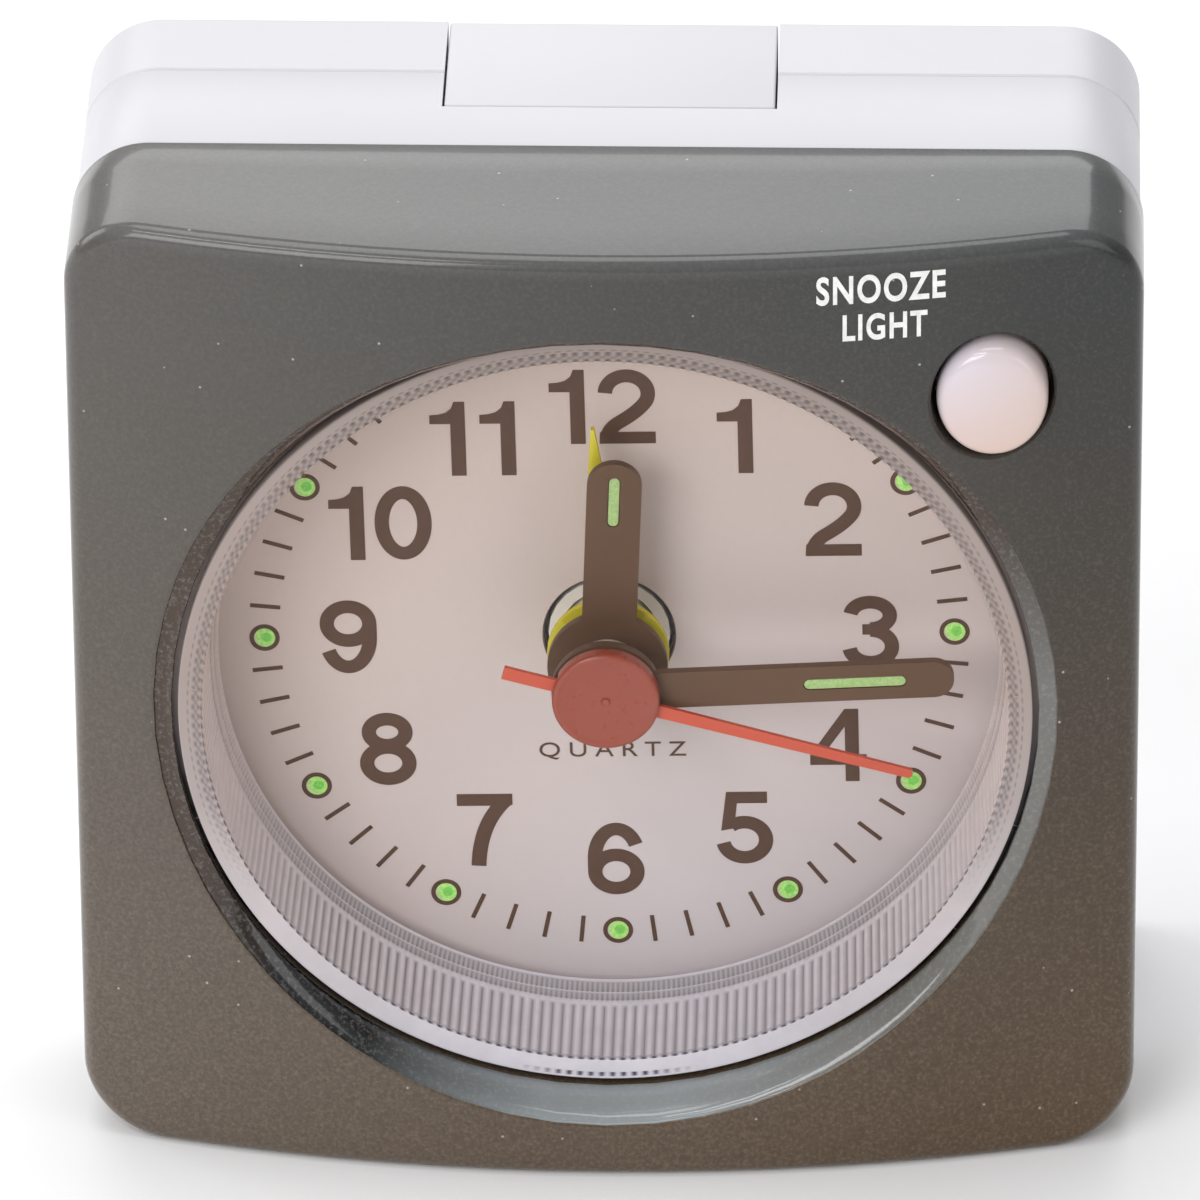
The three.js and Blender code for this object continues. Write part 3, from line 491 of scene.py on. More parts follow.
def bevel_finish():
    """The opening's polished bevel, coloured with painted reflections: blue-grey low down and at the right,
    brown at the left and above.
    """
    finish = Finish("bezel_polished")
    slow = finish.noise(16.0, 2.0)
    # Painted reflections: each tone stands where the bevel mirrors a bright, grey, dark or brown part of its
    # surroundings.
    steel = finish.tones(slow, srgb(136, 142, 144), srgb(146, 152, 154))
    stone = finish.tones(slow, srgb(104, 103, 99), srgb(112, 110, 106))
    slate = finish.tones(slow, srgb(14, 16, 16), srgb(20, 22, 22))
    brown = finish.tones(slow, srgb(46, 26, 4), srgb(54, 32, 8))
    toned = finish.mixed(finish.along("X", 4.0, 18.0), steel, stone)
    toned = finish.mixed(finish.along("X", -4.0, -15.0), toned, slate)
    toned = finish.mixed(finish.along("X", -20.0, -26.0), toned, brown)
    toned = finish.mixed(finish.along("Z", 34.0, 46.0), toned, brown)
    flakes = finish.noise(0.3, 2.0, 0.7)
    toned = finish.mixed(finish.between(flakes, 0.5, 0.72, 0.0, 0.14), toned, srgb(190, 192, 190))
    finish.color(toned)
    finish.rough(finish.noise(9.0, 3.0), 0.1, 0.15)
    finish.bump(finish.noise(5.0, 2.0), 0.01)
    return finish.done(coat=0.36, coat_roughness=0.05)


def white_finish():
    """White moulded plastic, smooth, a little translucent."""
    finish = Finish("case_white")
    color = srgb(209, 208, 213)
    slow = finish.noise(18.0, 2.0)
    fine = finish.noise(0.55, 4.0, 0.6)
    finish.color(finish.tones(slow, shade(color, 0.975), shade(color, 1.0)))
    finish.rough(fine, 0.32, 0.42)
    finish.bump(fine, 0.004)
    return finish.done(specular=0.45)


def button_finish():
    """Glossy white plastic, with painted shading: lavender towards the upper left and peach towards the lower
    right.
    """
    finish = Finish("button_white")
    # Painted shading: lavender at the upper left, darker peach lower down and to the right.
    across = finish.along("X", 20.0, 27.5)
    toned = finish.mixed(across, srgb(216, 209, 220), srgb(210, 192, 188))
    down = finish.along("Z", 57.5, 51.0, 0.0, 0.8)
    toned = finish.mixed(down, toned, srgb(214, 184, 168))
    finish.color(toned)
    fine = finish.noise(0.9, 2.0)
    finish.rough(fine, 0.16, 0.2)
    finish.bump(fine, 0.001)
    return finish.done(coat=0.4, coat_roughness=0.08)


def clear_finish():
    """A thin clear pane: it mirrors a little, lets the rest through, and carries a faint haze of wear."""
    finish = Finish("lens_clear")
    see = finish.add("ShaderNodeBsdfTransparent", {"Color": (0.99, 0.99, 0.99, 1)})
    worn = finish.between(finish.noise(6.0, 3.0), 0.3, 0.7, 0.02, 0.05)
    gloss = finish.add("ShaderNodeBsdfGlossy", {"Roughness": worn})
    mirror = finish.add("ShaderNodeFresnel", {"IOR": 1.25}).outputs[0]
    inner = finish.add("ShaderNodeNewGeometry", {}).outputs["Backfacing"]
    share = finish.times(mirror, finish.between(inner, 0.0, 1.0, 1.0, 0.0))
    pane = finish.add("ShaderNodeMixShader", {0: share, 1: see.outputs[0], 2: gloss.outputs[0]})
    finish.nodes.remove(finish.shader)
    finish.feed(finish.output, {"Surface": pane.outputs[0]})
    return finish.material


def ring_finish():
    """Clear ribbed plastic. Its own attribute "light" says how bright each place looks: the crests
    gather light, the grooves lose it. It is lavender towards the base and warmer above, partly as painted
    shade."""
    finish = Finish("ring_clear")
    light = finish.add("ShaderNodeAttribute", {}, attribute_name="light")
    level = finish.between(light.outputs["Fac"], 0.0, 1.0)
    low_tones = srgb(20, 20, 30), srgb(96, 94, 126), srgb(176, 171, 174), srgb(226, 221, 230)
    cool = finish.ramp(level, *zip((0.0, 0.2, 0.5, 1.0), low_tones))
    warm = finish.ramp(level, (0.0, srgb(40, 33, 29)), (0.5, srgb(152, 137, 131)), (1.0, srgb(226, 208, 200)))
    # Partly painted shade: the wall turns warmer and darker above.
    height = finish.along("Z", 8.0, 34.0)
    toned = finish.mixed(height, cool, warm)
    fine = finish.noise(1.6, 3.0)
    toned = finish.mixed(finish.between(fine, 0.35, 0.65, 0.0, 0.12), toned, srgb(150, 145, 148))
    finish.color(toned)
    finish.rough(fine, 0.14, 0.24)
    finish.bump(fine, 0.004)
    return finish.done(specular=0.35)


def dial_finish():
    """Matt printed dial, pale lavender at the lower right, with painted shade that makes it a little darker
    and warmer at the upper left.
    """
    finish = Finish("dial_print")
    # Painted shade: a little darker and warmer upwards and towards the left.
    shades = srgb(212, 204, 206), srgb(212, 198, 194), srgb(206, 188, 177)
    toned = finish.ramp(finish.along("Z", 6.0, 58.0), *zip((0.0, 0.5, 1.0), shades))
    side = finish.along("X", 4.0, -24.0, 0.0, 0.6)
    toned = finish.mixed(side, toned, srgb(208, 188, 176))
    fine = finish.noise(0.35, 4.0)
    toned = finish.tinted(fine, toned, srgb(230, 222, 220), 0.1)
    finish.color(toned)
    finish.rough(fine, 0.5, 0.6)
    finish.bump(fine, 0.003)
    return finish.done(specular=0.3)


def ink(name, color, roughness=0.5):
    """Printed ink: an uneven coat with a soft orange-peel surface."""
    finish = Finish(name)
    patchy = finish.noise(0.5, 3.0)
    finish.color(finish.tones(patchy, shade(color, 0.88), shade(color, 1.1)))
    finish.rough(patchy, roughness * 0.9, roughness * 1.1)
    finish.bump(patchy, 0.002)
    return finish.done(specular=0.35)


def lume(name, color):
    """Luminous paint: pale grains in a matt coat."""
    finish = Finish(name)
    grains = finish.noise(0.16, 2.0)
    finish.color(finish.ramp(grains, (0.35, shade(color, 0.86)), (0.65, shade(color, 1.12))))
    finish.rough(grains, 0.55, 0.7)
    finish.bump(grains, 0.01)
    return finish.done(emission=(*color, 1), emission_strength=0.06)


def metal(name, color, roughness, grain=(1.0, 1.0, 1.0), size=0.4):
    """Metal with fine drawn or stamped marks."""
    finish = Finish(name)
    marks = finish.noise(size, 3.0, 0.6, stretch=grain)
    slow = finish.noise(3.0, 2.0)
    finish.color(finish.tones(slow, shade(color, 0.9), shade(color, 1.05)))
    finish.rough(marks, roughness * 0.8, roughness * 1.2)
    finish.bump(marks, 0.004)
    return finish.done(metallic=1.0)


def board_finish():
    """Green circuit board with copper tracks showing through its coating."""
    finish = Finish("board_green")
    inputs = {"Vector": finish.place, "Scale": 0.45, "Mortar Size": 0.06}
    brick = finish.add("ShaderNodeTexBrick", inputs, offset=0.5)
    toned = finish.mixed(brick.outputs["Fac"], srgb(36, 92, 52), srgb(66, 128, 70))
    fine = finish.noise(0.6, 3.0)
    finish.color(finish.tinted(fine, toned, srgb(24, 70, 40), 0.2))
    finish.rough(fine, 0.3, 0.42)
    finish.bump(brick.outputs["Fac"], 0.02)
    return finish.done()


def jacket_finish():
    """A battery's shrink sleeve: dark body with a brushed gold band at the positive end."""
    finish = Finish("cell_jacket")
    band = finish.along("X", 11.9, 12.1)
    fine = finish.noise(0.5, 3.0, stretch=(0.2, 1.0, 1.0))
    dark = finish.tones(fine, srgb(30, 62, 44), srgb(38, 76, 54))
    gold = finish.tones(fine, srgb(176, 128, 58), srgb(202, 154, 80))
    finish.color(finish.mixed(band, dark, gold))
    finish.rough(fine, 0.22, 0.34)
    finish.bump(fine, 0.004)
    return finish.done(coat=0.3, coat_roughness=0.1)


BEZEL = bezel_finish()
BEVEL = bevel_finish()
WHITE = white_finish()
LENS = clear_finish()
RING = ring_finish()
DIAL = dial_finish()
DIAL_EDGE = ink("dial_edge", srgb(128, 112, 108))
BROWN_INK = ink("numeral_brown", srgb(92, 66, 50))
WHITE_INK = ink("label_white", srgb(235, 236, 232), 0.4)
DOT_PALE = lume("dot_pale", srgb(178, 232, 128))
DOT_GREEN = lume("dot_green", srgb(128, 214, 92))
HAND_LUME = lume("hand_lume", srgb(162, 190, 122))
HAND_BROWN = grained("hand_brown", srgb(100, 74, 55), 0.4, specks=0.06, grain=0.5, specular=0.25)
HAND_YELLOW = grained("hand_yellow", srgb(214, 200, 48), 0.45, grain=0.5)
HAND_RED = grained("hand_red", srgb(204, 84, 58), 0.35, grain=0.5)
CAP_RED = grained("cap_red", srgb(152, 64, 42), 0.3, grain=0.5, coat=0.3, coat_roughness=0.15)
BUTTON_WHITE = button_finish()
KNOB_GREY = grained("knob_grey", srgb(66, 69, 72), 0.42, grain=0.35, grain_depth=0.01)
MOVEMENT = grained("movement_plastic", srgb(226, 220, 214), 0.45, grain=0.6, grain_depth=0.006)
GEAR_PLASTIC = grained("gear_plastic", srgb(226, 221, 206), 0.38, grain=0.3, grain_depth=0.004)
ROTOR_BLUE = grained("rotor_blue", srgb(48, 106, 170), 0.38, grain=0.3, grain_depth=0.004)
BLACK = grained("black_plastic", srgb(30, 32, 34), 0.42, grain=0.35, grain_depth=0.006)
LAMP = grained("lamp_clear", srgb(240, 236, 212), 0.1, grain=1.0, grain_depth=0.002, coat=0.6)
BRASS = metal("gear_brass", srgb(205, 168, 84), 0.3)
SOUNDER_BRASS = metal("sounder_brass", srgb(200, 168, 98), 0.34)
STEEL = metal("steel", srgb(190, 193, 196), 0.28)
SOFT_IRON = metal("soft_iron", srgb(150, 152, 156), 0.42, size=0.3)
MAGNET = metal("magnet", srgb(88, 91, 95), 0.5, size=0.25)
COPPER = metal("copper_wire", srgb(190, 104, 56), 0.3, grain=(12.0, 0.2, 0.2), size=1.2)
BOARD = board_finish()
JACKET = jacket_finish()


# ---- the grey front

EDGE_ROUND = 0.95
RIM_LIP = 0.25
SEAT_RADIUS = 27.7


def rim_y(angle):
    """The depth of the opening's inner rim. It lies nearly flush at the two sides."""
    return -1.75 - 0.4 * sin(angle) ** 2


def inset_rows(back):
    """Rows of the bezel's outer skin, from its back edge over the side and round onto the face."""
    outline = case_outline(0.0)
    side_back = back - 0.2
    start = ((0.2, back), (0.05, back - 0.05), (0.0, side_back))
    rows = [at_depth(case_outline(inset), y) for inset, y in start]
    for share in (0.25, 0.5, 0.75):
        rows.append([(x, side_back - share * (side_back - face_y(x) - EDGE_ROUND), z) for x, z in outline])
    for turn in quarter(8):
        inset, lift = EDGE_ROUND * (1 - cos(turn)), EDGE_ROUND * (1 - sin(turn))
        rows.append(on_face(case_outline(inset), lift))
    return rows


def axis_ring(angles, radius):
    """Points at a radius round the hands' axis."""
    return [(AXIS_X + radius * cos(a), AXIS_Z + radius * sin(a)) for a in angles]


def polar_row(angles, radius, depth):
    """A row round the hands' axis. depth is a function of the point's x and angle."""
    return [(x, depth(x, a), z) for a, (x, z) in zip(angles, axis_ring(angles, radius))]


def front_bezel():
    outer = inset_rows(BEZEL_BACK)
    edge = [(x, z) for x, _, z in outer[-1]]
    angles = [atan2(z - AXIS_Z, x - AXIS_X) for x, z in edge]
    lip_edge = axis_ring(angles, OPENING_RADIUS + RIM_LIP)
    face = []
    for step in range(1, 15):
        share = (step / 14) ** 0.9
        face.append(on_face([blend(start, end, share) for start, end in zip(edge, lip_edge)]))
    mouth = OPENING_RADIUS - 0.07
    for radius, lift in ((OPENING_RADIUS + 0.12, 0.02), (OPENING_RADIUS, 0.1), (mouth, 0.24)):
        face.append(on_face(axis_ring(angles, radius), lift))

    def funnel_depth(share):
        drop = share**1.7
        return lambda x, a: (face_y(OPENING_RADIUS * cos(a)) + 0.24) * (1 - drop) + rim_y(a) * drop

    funnel = [
        polar_row(angles, mouth - (mouth - RIM_RADIUS) * share, funnel_depth(share))
        for share in (0.12, 0.25, 0.4, 0.6, 0.8, 0.95)
    ]
    funnel.append(polar_row(angles, RIM_RADIUS, lambda x, a: rim_y(a) + 0.08))
    for radius, y in ((RIM_RADIUS, -1.2), (SEAT_RADIUS, -1.15), (SEAT_RADIUS, -0.1), (SEAT_RADIUS + 1, -0.1)):
        funnel.append(at_depth(axis_ring(angles, radius), y))
    inner_edge = case_outline(WALL)
    inside = []
    for share in (0.15, 0.4, 0.7, 1.0):
        seat = zip(axis_ring(angles, SEAT_RADIUS + 1), inner_edge)
        front = -0.1 if share < 0.2 else -9
        spots = [blend(start, end, share) for start, end in seat]
        inside.append([(x, max(face_y(x) + 2.2, front), z) for x, z in spots])
    inside.append(at_depth(inner_edge, BEZEL_BACK))
    body = loft("front_bezel_shell", outer + face + funnel + inside, through=True)
    cut(body, button_hole_tool())

    def is_bevel(centre, normal):
        reach = hypot(centre.x - AXIS_X, centre.z - AXIS_Z)
        return RIM_RADIUS - 0.05 < reach < OPENING_RADIUS - 0.03 and centre.y < -1.0 and normal.y < -0.05

    paint(body, is_bevel, 1)
    settle(body, "case", [BEZEL, BEVEL], ["front_bezel"], smooth=32)


def button_oval(radius):
    """An outline about the button's middle, a little taller than wide."""
    return [(BUTTON_AT[0] + x, BUTTON_AT[1] + z * BUTTON_STRETCH) for x, z in circle(radius, 96)]


def button_hole_tool():
    """A bore along y whose mouth is flared where it meets the curved face."""
    rows = [at_depth(button_oval(BUTTON_HOLE_RADIUS), 4.0)]
    for flare, rise in ((0.0, 0.3), (0.06, 0.12), (0.2, 0.0), (0.5, -0.2)):
        rows.append(on_face(button_oval(BUTTON_HOLE_RADIUS + flare), rise))
    rows.append(at_depth(button_oval(BUTTON_HOLE_RADIUS + 0.5), -8.0))
    return loft("button_hole", rows)


# ---- lens, ribbed wall and dial


def front_lens():
    """The flat pane in the ribbed wall's mouth."""
    radius = 24.84
    profile = [(0, LENS_FRONT), (radius - 0.1, LENS_FRONT), (radius, LENS_FRONT + 0.1)]
    profile += [(radius, LENS_BACK), (0, LENS_BACK)]
    pane = turned("front_lens_clear", profile, (AXIS_X, AXIS_Z), 180)
    settle(pane, "case", LENS, ["front_lens"], smooth=30)


RIBS = 240
RIB_DEPTH = 0.16
STEPS_PER_RIB = 8
FLANGE_FRONT, FLANGE_BACK = -0.95, -0.1


def fade(value, low, high):
    """0 at low and 1 at high, and straight between them."""
    return max(0.0, min(1.0, (value - low) / (high - low)))


def away(turn, middle):
    """The angle between two directions, in degrees."""
    return abs((turn - middle + 180) % 360 - 180)


def ring_zones(turn, i):
    """How deep the ribs run and how light groove and crest look in each zone, at one direction.
    The ribs stand out low down, and sink into the pale wall towards the sides."""
    # Every level is painted light and shade: the gap wall ("well") is black except near the top, the flat
    # face is darker above, and its dashes, dots and specks are painted reflections of the ribs seen through
    # it.
    low = fade(away(turn, 270), 74, 42)
    wave, quick = (0.5 + 0.5 * cos(n * pi * i / STEPS_PER_RIB) for n in (2, 4))
    groove = 1 - wave
    upper = fade(away(turn, 90), 122, 104)
    dashes = fade(away(turn, 270), 13, 6)
    top = fade(away(turn, 90), 62, 44)
    flat = 0.9 - 0.34 * upper - 0.16 * fade(away(turn, 270), 10, 36) * (1 - upper)
    wide = wave**0.6
    dark = 0.9 - 0.54 * low
    return {
        "well": (0.0, 0.0, 0.52 * fade(away(turn, 90), 104, 84)),
        "face": (0.0, 0.0, flat),
        "dots": (0.0, 0.05 * upper * groove, flat - 0.3 * upper * groove),
        "specks": (0.0, 0.03 * upper * wave, flat - 0.22 * upper * wave),
        "dashes": (0.0, 0.08 * dashes * groove, flat - 0.8 * dashes * groove),
        "top": (0.0, 0.05 * top * groove, flat - 0.4 * top * groove),
        "mouth": (RIB_DEPTH * groove, 0.0, 0.16 + 0.54 * wave),
        "rib": (RIB_DEPTH * groove * (0.3 + 0.7 * low), 0.0, dark + (1.0 - 0.02 * low - dark) * wide),
        "line": (0.0, 0.0, 0.92),
        "foot": (0.1 * (1 - quick), 0.0, 0.76 - 0.38 * low + (0.19 + 0.08 * low) * quick),
    }


def ribbed_ring():
    """The clear wall between opening and dial. Its flat front face fills the rim, fine ribs run from
    there to a smooth line, and a finely ribbed foot turns in over the dial's edge."""
    steps = RIBS * STEPS_PER_RIB
    front = RING_FRONT
    profile = [
        (26.45, FLANGE_FRONT, "well"), (26.45, front + 0.16, "well"), (26.41, front + 0.04, "face"),
        (26.34, front, "face"), (26.28, front, "face"), (26.22, front, "dashes"), (25.98, front, "dashes"),
        (25.92, front, "face"), (25.84, front, "specks"), (25.76, front, "face"), (25.66, front, "top"),
        (25.5, front, "dots"), (25.34, front, "specks"), (25.18, front, "dots"), (25.04, front, "top"),
        (24.98, front + 0.02, "mouth"), (24.95, front + 0.06, "mouth"), (24.945, front + 0.3, "mouth"),
        (24.94, front + 0.42, "rib"), (24.8, 4.15, "rib"), (24.78, 4.28, "line"), (24.74, 4.66, "line"),
        (24.73, 4.74, "foot"), (24.62, 5.35, "foot"), (24.6, 5.42, "line"), (24.58, 5.5, "foot"),
        (24.4, 6.35, "foot"), (24.37, 6.42, "line"), (24.35, 6.6, "line"), (25.3, 6.9, "line"),
        (25.8, RING_BACK, "line"), (27.0, RING_BACK, "line"), (27.2, FLANGE_BACK, "line"),
        (27.4, FLANGE_BACK, "well"), (27.4, FLANGE_FRONT, "well"),
    ]
    directions = [(i, 2 * pi * i / steps) for i in range(steps)]
    zones = [ring_zones(degrees(a), i) for i, a in directions]
    rows, lights = [], {}
    for radius, depth, zone in profile:
        row = []
        for i, a in directions:
            outward, back, level = zones[i][zone]
            r = radius + outward
            row.append((AXIS_X + r * cos(a), depth + back, AXIS_Z + r * sin(a)))
            lights[tuple(round(c, 3) for c in row[-1])] = level
        rows.append(row)
    ring = loft("ribbed_ring_clear", rows, through=True)
    values = ring.data.attributes.new("light", "FLOAT", "POINT")
    found = [lights.get(tuple(round(c, 3) for c in v.co), 0.6) for v in ring.data.vertices]
    values.data.foreach_set("value", np.array(found, np.float32))
    settle(ring, "case", RING, ["ribbed_ring"], smooth=50)


def dial_plate():
    bore, edge = 4.1, DIAL_RADIUS - 0.1
    profile = [
        (bore, DIAL_FRONT + 0.08), (bore + 0.08, DIAL_FRONT), (edge, DIAL_FRONT),
        (DIAL_RADIUS, DIAL_FRONT + 0.1), (DIAL_RADIUS, DIAL_BACK), (bore, DIAL_BACK),
    ]
    body = turned("dial_plate_printed", profile, (AXIS_X, AXIS_Z), 160, closed=True)
    paint(body, lambda centre, normal: hypot(centre.x - AXIS_X, centre.z - AXIS_Z) < bore + 0.2, 1)
    settle(body, "case", [DIAL, DIAL_EDGE], ["dial_plate"])


# ---- print on the dial

PRINT_TURN = radians(1.16)
INK = 0.03
NUMERAL_RADIUS = 16.3
STROKE = 0.9
DOT_RADIUS = 21.55
FILL_AT = (0.12, 0.04)


def stroke(path, width=STROKE, closed=False):
    """The two sides of a stroke along a path, as a solid slab of ink drawn about the origin."""
    count = len(path)
    left, right = [], []
    for i, (x, z) in enumerate(path):
        before = path[(i - 1) % count] if closed or i else path[0]
        after = path[(i + 1) % count] if closed or i < count - 1 else path[-1]
        dx, dz = after[0] - before[0], after[1] - before[1]
        length = hypot(dx, dz) or 1.0
        nx, nz = -dz / length * width / 2, dx / length * width / 2
        left.append((x + nx, z + nz))
        right.append((x - nx, z - nz))
    rows = [at_depth(left, -INK), at_depth(right, -INK), at_depth(right, 0), at_depth(left, 0)]
    if closed:
        return loft("stroke", rows, through=True)
    flipped = [list(column) for column in zip(*rows)]
    return loft("stroke", flipped)


def polygon(outline):
    return prism("stroke", outline, -INK, 0)


def smooth_path(*points, steps):
    """A quadratic curve through three control points."""
    first, middle, last = points
    shares = [i / steps for i in range(steps + 1)]
    return [blend(blend(first, middle, t), blend(middle, last, t), t) for t in shares]


HALF_TALL = 2.62
TOP_LINE = HALF_TALL - STROKE / 2
SIDE_LINE = 1.33


def numeral(character):
    """One figure as a solid, about 3.6 wide and 5.2 high, with its centre at the origin."""
    top, side = TOP_LINE, SIDE_LINE
    if character == "0":
        return stroke(arc((0, 0), (side, top), 0, 360, 48)[:-1], closed=True)
    if character == "1":
        return polygon([(1.1, -HALF_TALL), (1.1, HALF_TALL), (0.42, HALF_TALL), (0.25, 2.15), (-0.1, 1.85),
                        (-0.55, 1.72), (-1.1, 1.68), (-1.1, 1.06), (0.18, 1.06), (0.18, -HALF_TALL)])
    if character == "2":
        bowl = arc((0, 0.92), (side, top - 0.92), 178, -25, 24)
        sweep = smooth_path(bowl[-1], (0.75, -0.35), (-0.55, -1.15), steps=10)
        tail = smooth_path(sweep[-1], (-1.15, -1.55), (-1.3, -2.3), steps=6)
        rise = -HALF_TALL + 0.82
        base = polygon([(-1.75, -HALF_TALL), (1.75, -HALF_TALL), (1.75, rise), (-1.7, rise)])
        return join(stroke(bowl + sweep[1:] + tail[1:]), base)
    if character == "3":
        upper = arc((0, 1.22), (side - 0.1, top - 1.22), 172, -90, 26)
        lower = arc((0, -1.02), (side, top - 1.02), 90, -172, 28)
        middle = polygon([(-0.5, -0.16), (0.15, -0.16), (0.15, 0.58), (-0.5, 0.58)])
        return join(stroke(upper), stroke(lower), middle)
    if character == "4":
        body = polygon([(0.45, HALF_TALL), (1.32, HALF_TALL), (1.32, -0.68), (1.8, -0.68), (1.8, -1.42),
                        (1.32, -1.42), (1.32, -HALF_TALL), (0.45, -HALF_TALL), (0.45, -1.42),
                        (-1.75, -1.42), (-1.75, -0.72)])
        return cut(body, prism("window", [(0.45, 1.35), (0.45, -0.68), (-0.92, -0.68)], -1, 1))
    if character == "5":
        bowl = arc((-0.02, -0.88), (side + 0.02, top - 0.88), 128, -170, 30)
        back = polygon([(-1.12, HALF_TALL), (-0.35, HALF_TALL), (-0.62, 0.35), (-0.75, -0.05), (-1.48, -0.2)])
        drop = HALF_TALL - 0.82
        bar = polygon([(-1.12, HALF_TALL), (1.45, HALF_TALL), (1.45, drop), (-1.2, drop)])
        return join(stroke(bowl), back, bar)
    if character in "69":
        bowl = arc((0, -0.95), (side, top - 0.95), 0, 360, 40)[:-1]
        back = arc((0.05, 0.0), (side + 0.05, top), 28, 180, 26) + [(-side, -0.4), (-side, -0.95)]
        figure = join(stroke(bowl, closed=True), stroke(back))
        if character == "9":
            figure.data.transform(Matrix.Rotation(pi, 4, "Y"))
        return figure
    if character == "7":
        bar = polygon([(-1.75, HALF_TALL - 0.85), (-1.75, HALF_TALL), (1.75, HALF_TALL),
                       (1.75, HALF_TALL - 0.8), (1.3, HALF_TALL - 0.85)])
        leg = smooth_path((1.28, HALF_TALL - 0.5), (-0.35, 0.45), (-0.5, -HALF_TALL), steps=16)
        return join(stroke(leg, 0.94), bar)
    upper = arc((0, 1.22), (side - 0.18, top - 1.22), 0, 360, 36)[:-1]
    lower = arc((0, -1.03), (side, top - 1.03), 0, 360, 40)[:-1]
    return join(stroke(upper, closed=True), stroke(lower, closed=True))


def merge(name, parts):
    """Several meshes as one piece."""
    points, faces = [], []
    for part in parts:
        start = len(points)
        points += [tuple(v.co) for v in part.data.vertices]
        faces += [tuple(start + i for i in polygon.vertices) for polygon in part.data.polygons]
        remove(part)
    return new_object(name, points, faces)


def clock_place(minutes, radius):
    """The place of a minute on the dial's print."""
    a = radians(6 * minutes)
    return radius * sin(a), radius * cos(a)


def on_dial(obj, x, z):
    """Sets print drawn about the origin at a place on the turned print's own x and z."""
    turn = Matrix.Rotation(-PRINT_TURN, 4, "Y")
    middle = Matrix.Translation((AXIS_X, DIAL_FRONT, AXIS_Z))
    obj.data.transform(middle @ turn @ Matrix.Translation((x, 0, z)))
    return obj


def dial_numerals():
    spacing = {10: (-2.02, 1.5), 11: (-1.5, 1.6), 12: (-2.2, 1.5)}
    for hour in range(1, 13):
        x, z = clock_place(5 * hour, NUMERAL_RADIUS)
        offsets = spacing.get(hour, (0.0,))
        parts = [on_dial(numeral(c), x + offset, z) for c, offset in zip(str(hour), offsets)]
        settle(merge(f"numeral_{hour}", parts), "case", BROWN_INK)


def hour_dots():
    """Each dot has a brown ring, a pale fill a little off its middle, and a greener spot."""
    low = -INK * 0.8
    dots = {
        "rings": (BROWN_INK, [(0.67, 0.0), (0.67, -INK), (0.95, -INK), (0.95, 0.0)], 40, (0, 0)),
        "fills": (DOT_PALE, [(0, 0), (0.72, 0), (0.72, -INK * 0.6), (0.5, low), (0, low)], 32, FILL_AT),
        "middles": (DOT_GREEN, [(0, 0.0), (0.34, 0.0), (0.34, -INK), (0, -INK * 1.2)], 24, FILL_AT),
    }
    for name, (finish, profile, steps, (across, up)) in dots.items():
        parts = []
        for hour in range(1, 13):
            x, z = clock_place(5 * hour, DOT_RADIUS)
            dot = turned("dot", profile, (0, 0), steps, closed=name == "rings")
            parts.append(on_dial(dot, x + across, z + up))
        settle(merge(f"hour_dot_{name}", parts), "case", finish)


def minute_marks():
    marks = []
    for minute in (m for m in range(60) if m % 5):
        mark = block("mark", -0.135, 0.135, -INK, 0, -0.95, 0.95)
        mark.data.transform(Matrix.Rotation(radians(6 * minute), 4, "Y"))
        marks.append(on_dial(mark, *clock_place(minute, DOT_RADIUS)))
    settle(merge("minute_marks", marks), "case", BROWN_INK)


def lettering(name, text, width, height, boldness, spacing=1.0):
    """Plain capitals as a thin solid in x and z, fitted to a width and height about the origin."""
    curve = bpy.data.curves.new(name, "FONT")
    curve.body = text
    curve.offset = boldness
    curve.space_character = spacing
    curve.resolution_u = 6
    curve.extrude = 0.02
    words = placed(name, curve)
    graph = bpy.context.evaluated_depsgraph_get()
    data = bpy.data.meshes.new_from_object(words.evaluated_get(graph))
    bpy.data.objects.remove(words)
    bpy.data.curves.remove(curve)
    points = np.array([v.co for v in data.vertices])
    low, high = points.min(0), points.max(0)
    shift = (low + high) / 2
    scale = (width / (high[0] - low[0]), height / (high[1] - low[1]))
    raised = []
    for x, up, out in points:
        raised.append(((x - shift[0]) * scale[0], -INK if out > 0 else 0.0, (up - shift[1]) * scale[1]))
    faces = [tuple(p.vertices) for p in data.polygons]
    bpy.data.meshes.remove(data)
    return new_object(name, raised, faces)


def dial_word():
    word = lettering("quartz_word", "QUARTZ", 9.2, 1.25, 0.0, 1.5)
    on_dial(word, 0, -8.4)
    settle(word, "case", BROWN_INK)


def button_labels():
    """The button's two functions, printed on the curved face above it."""
    for name, text, at, size in (
        ("label_snooze", "SNOOZE", (17.0, 63.05), (7.85, 1.98)),
        ("label_light", "LIGHT", (17.25, 60.42), (5.15, 1.85)),
    ):
        word = lettering(name, text, *size, 0.026, 1.14)
        for v in word.data.vertices:
            x = v.co.x + at[0]
            v.co = (x, face_y(x) + v.co.y + 0.005, v.co.z + at[1])
        settle(word, "case", WHITE_INK)


# ---- hands


def on_axis(obj, angle):
    """Turns a hand drawn pointing up about the hands' axis, clockwise as seen from the front."""
    turn = Matrix.Rotation(radians(angle), 4, "Y")
    obj.data.transform(Matrix.Translation((AXIS_X, 0, AXIS_Z)) @ turn)
    return obj


def round_bar(half_width, bottom, top):
    """An upright bar's outline with a round upper end."""
    return [(-half_width, bottom), (half_width, bottom)] + arc((0, top - half_width), half_width, 0, 180, 20)


def slot_outline(half_width, low, high):
    """An upright slot with round ends."""
    upper = arc((0, high - half_width), half_width, 0, 180, 10)
    return upper + arc((0, low + half_width), half_width, 180, 360, 10)


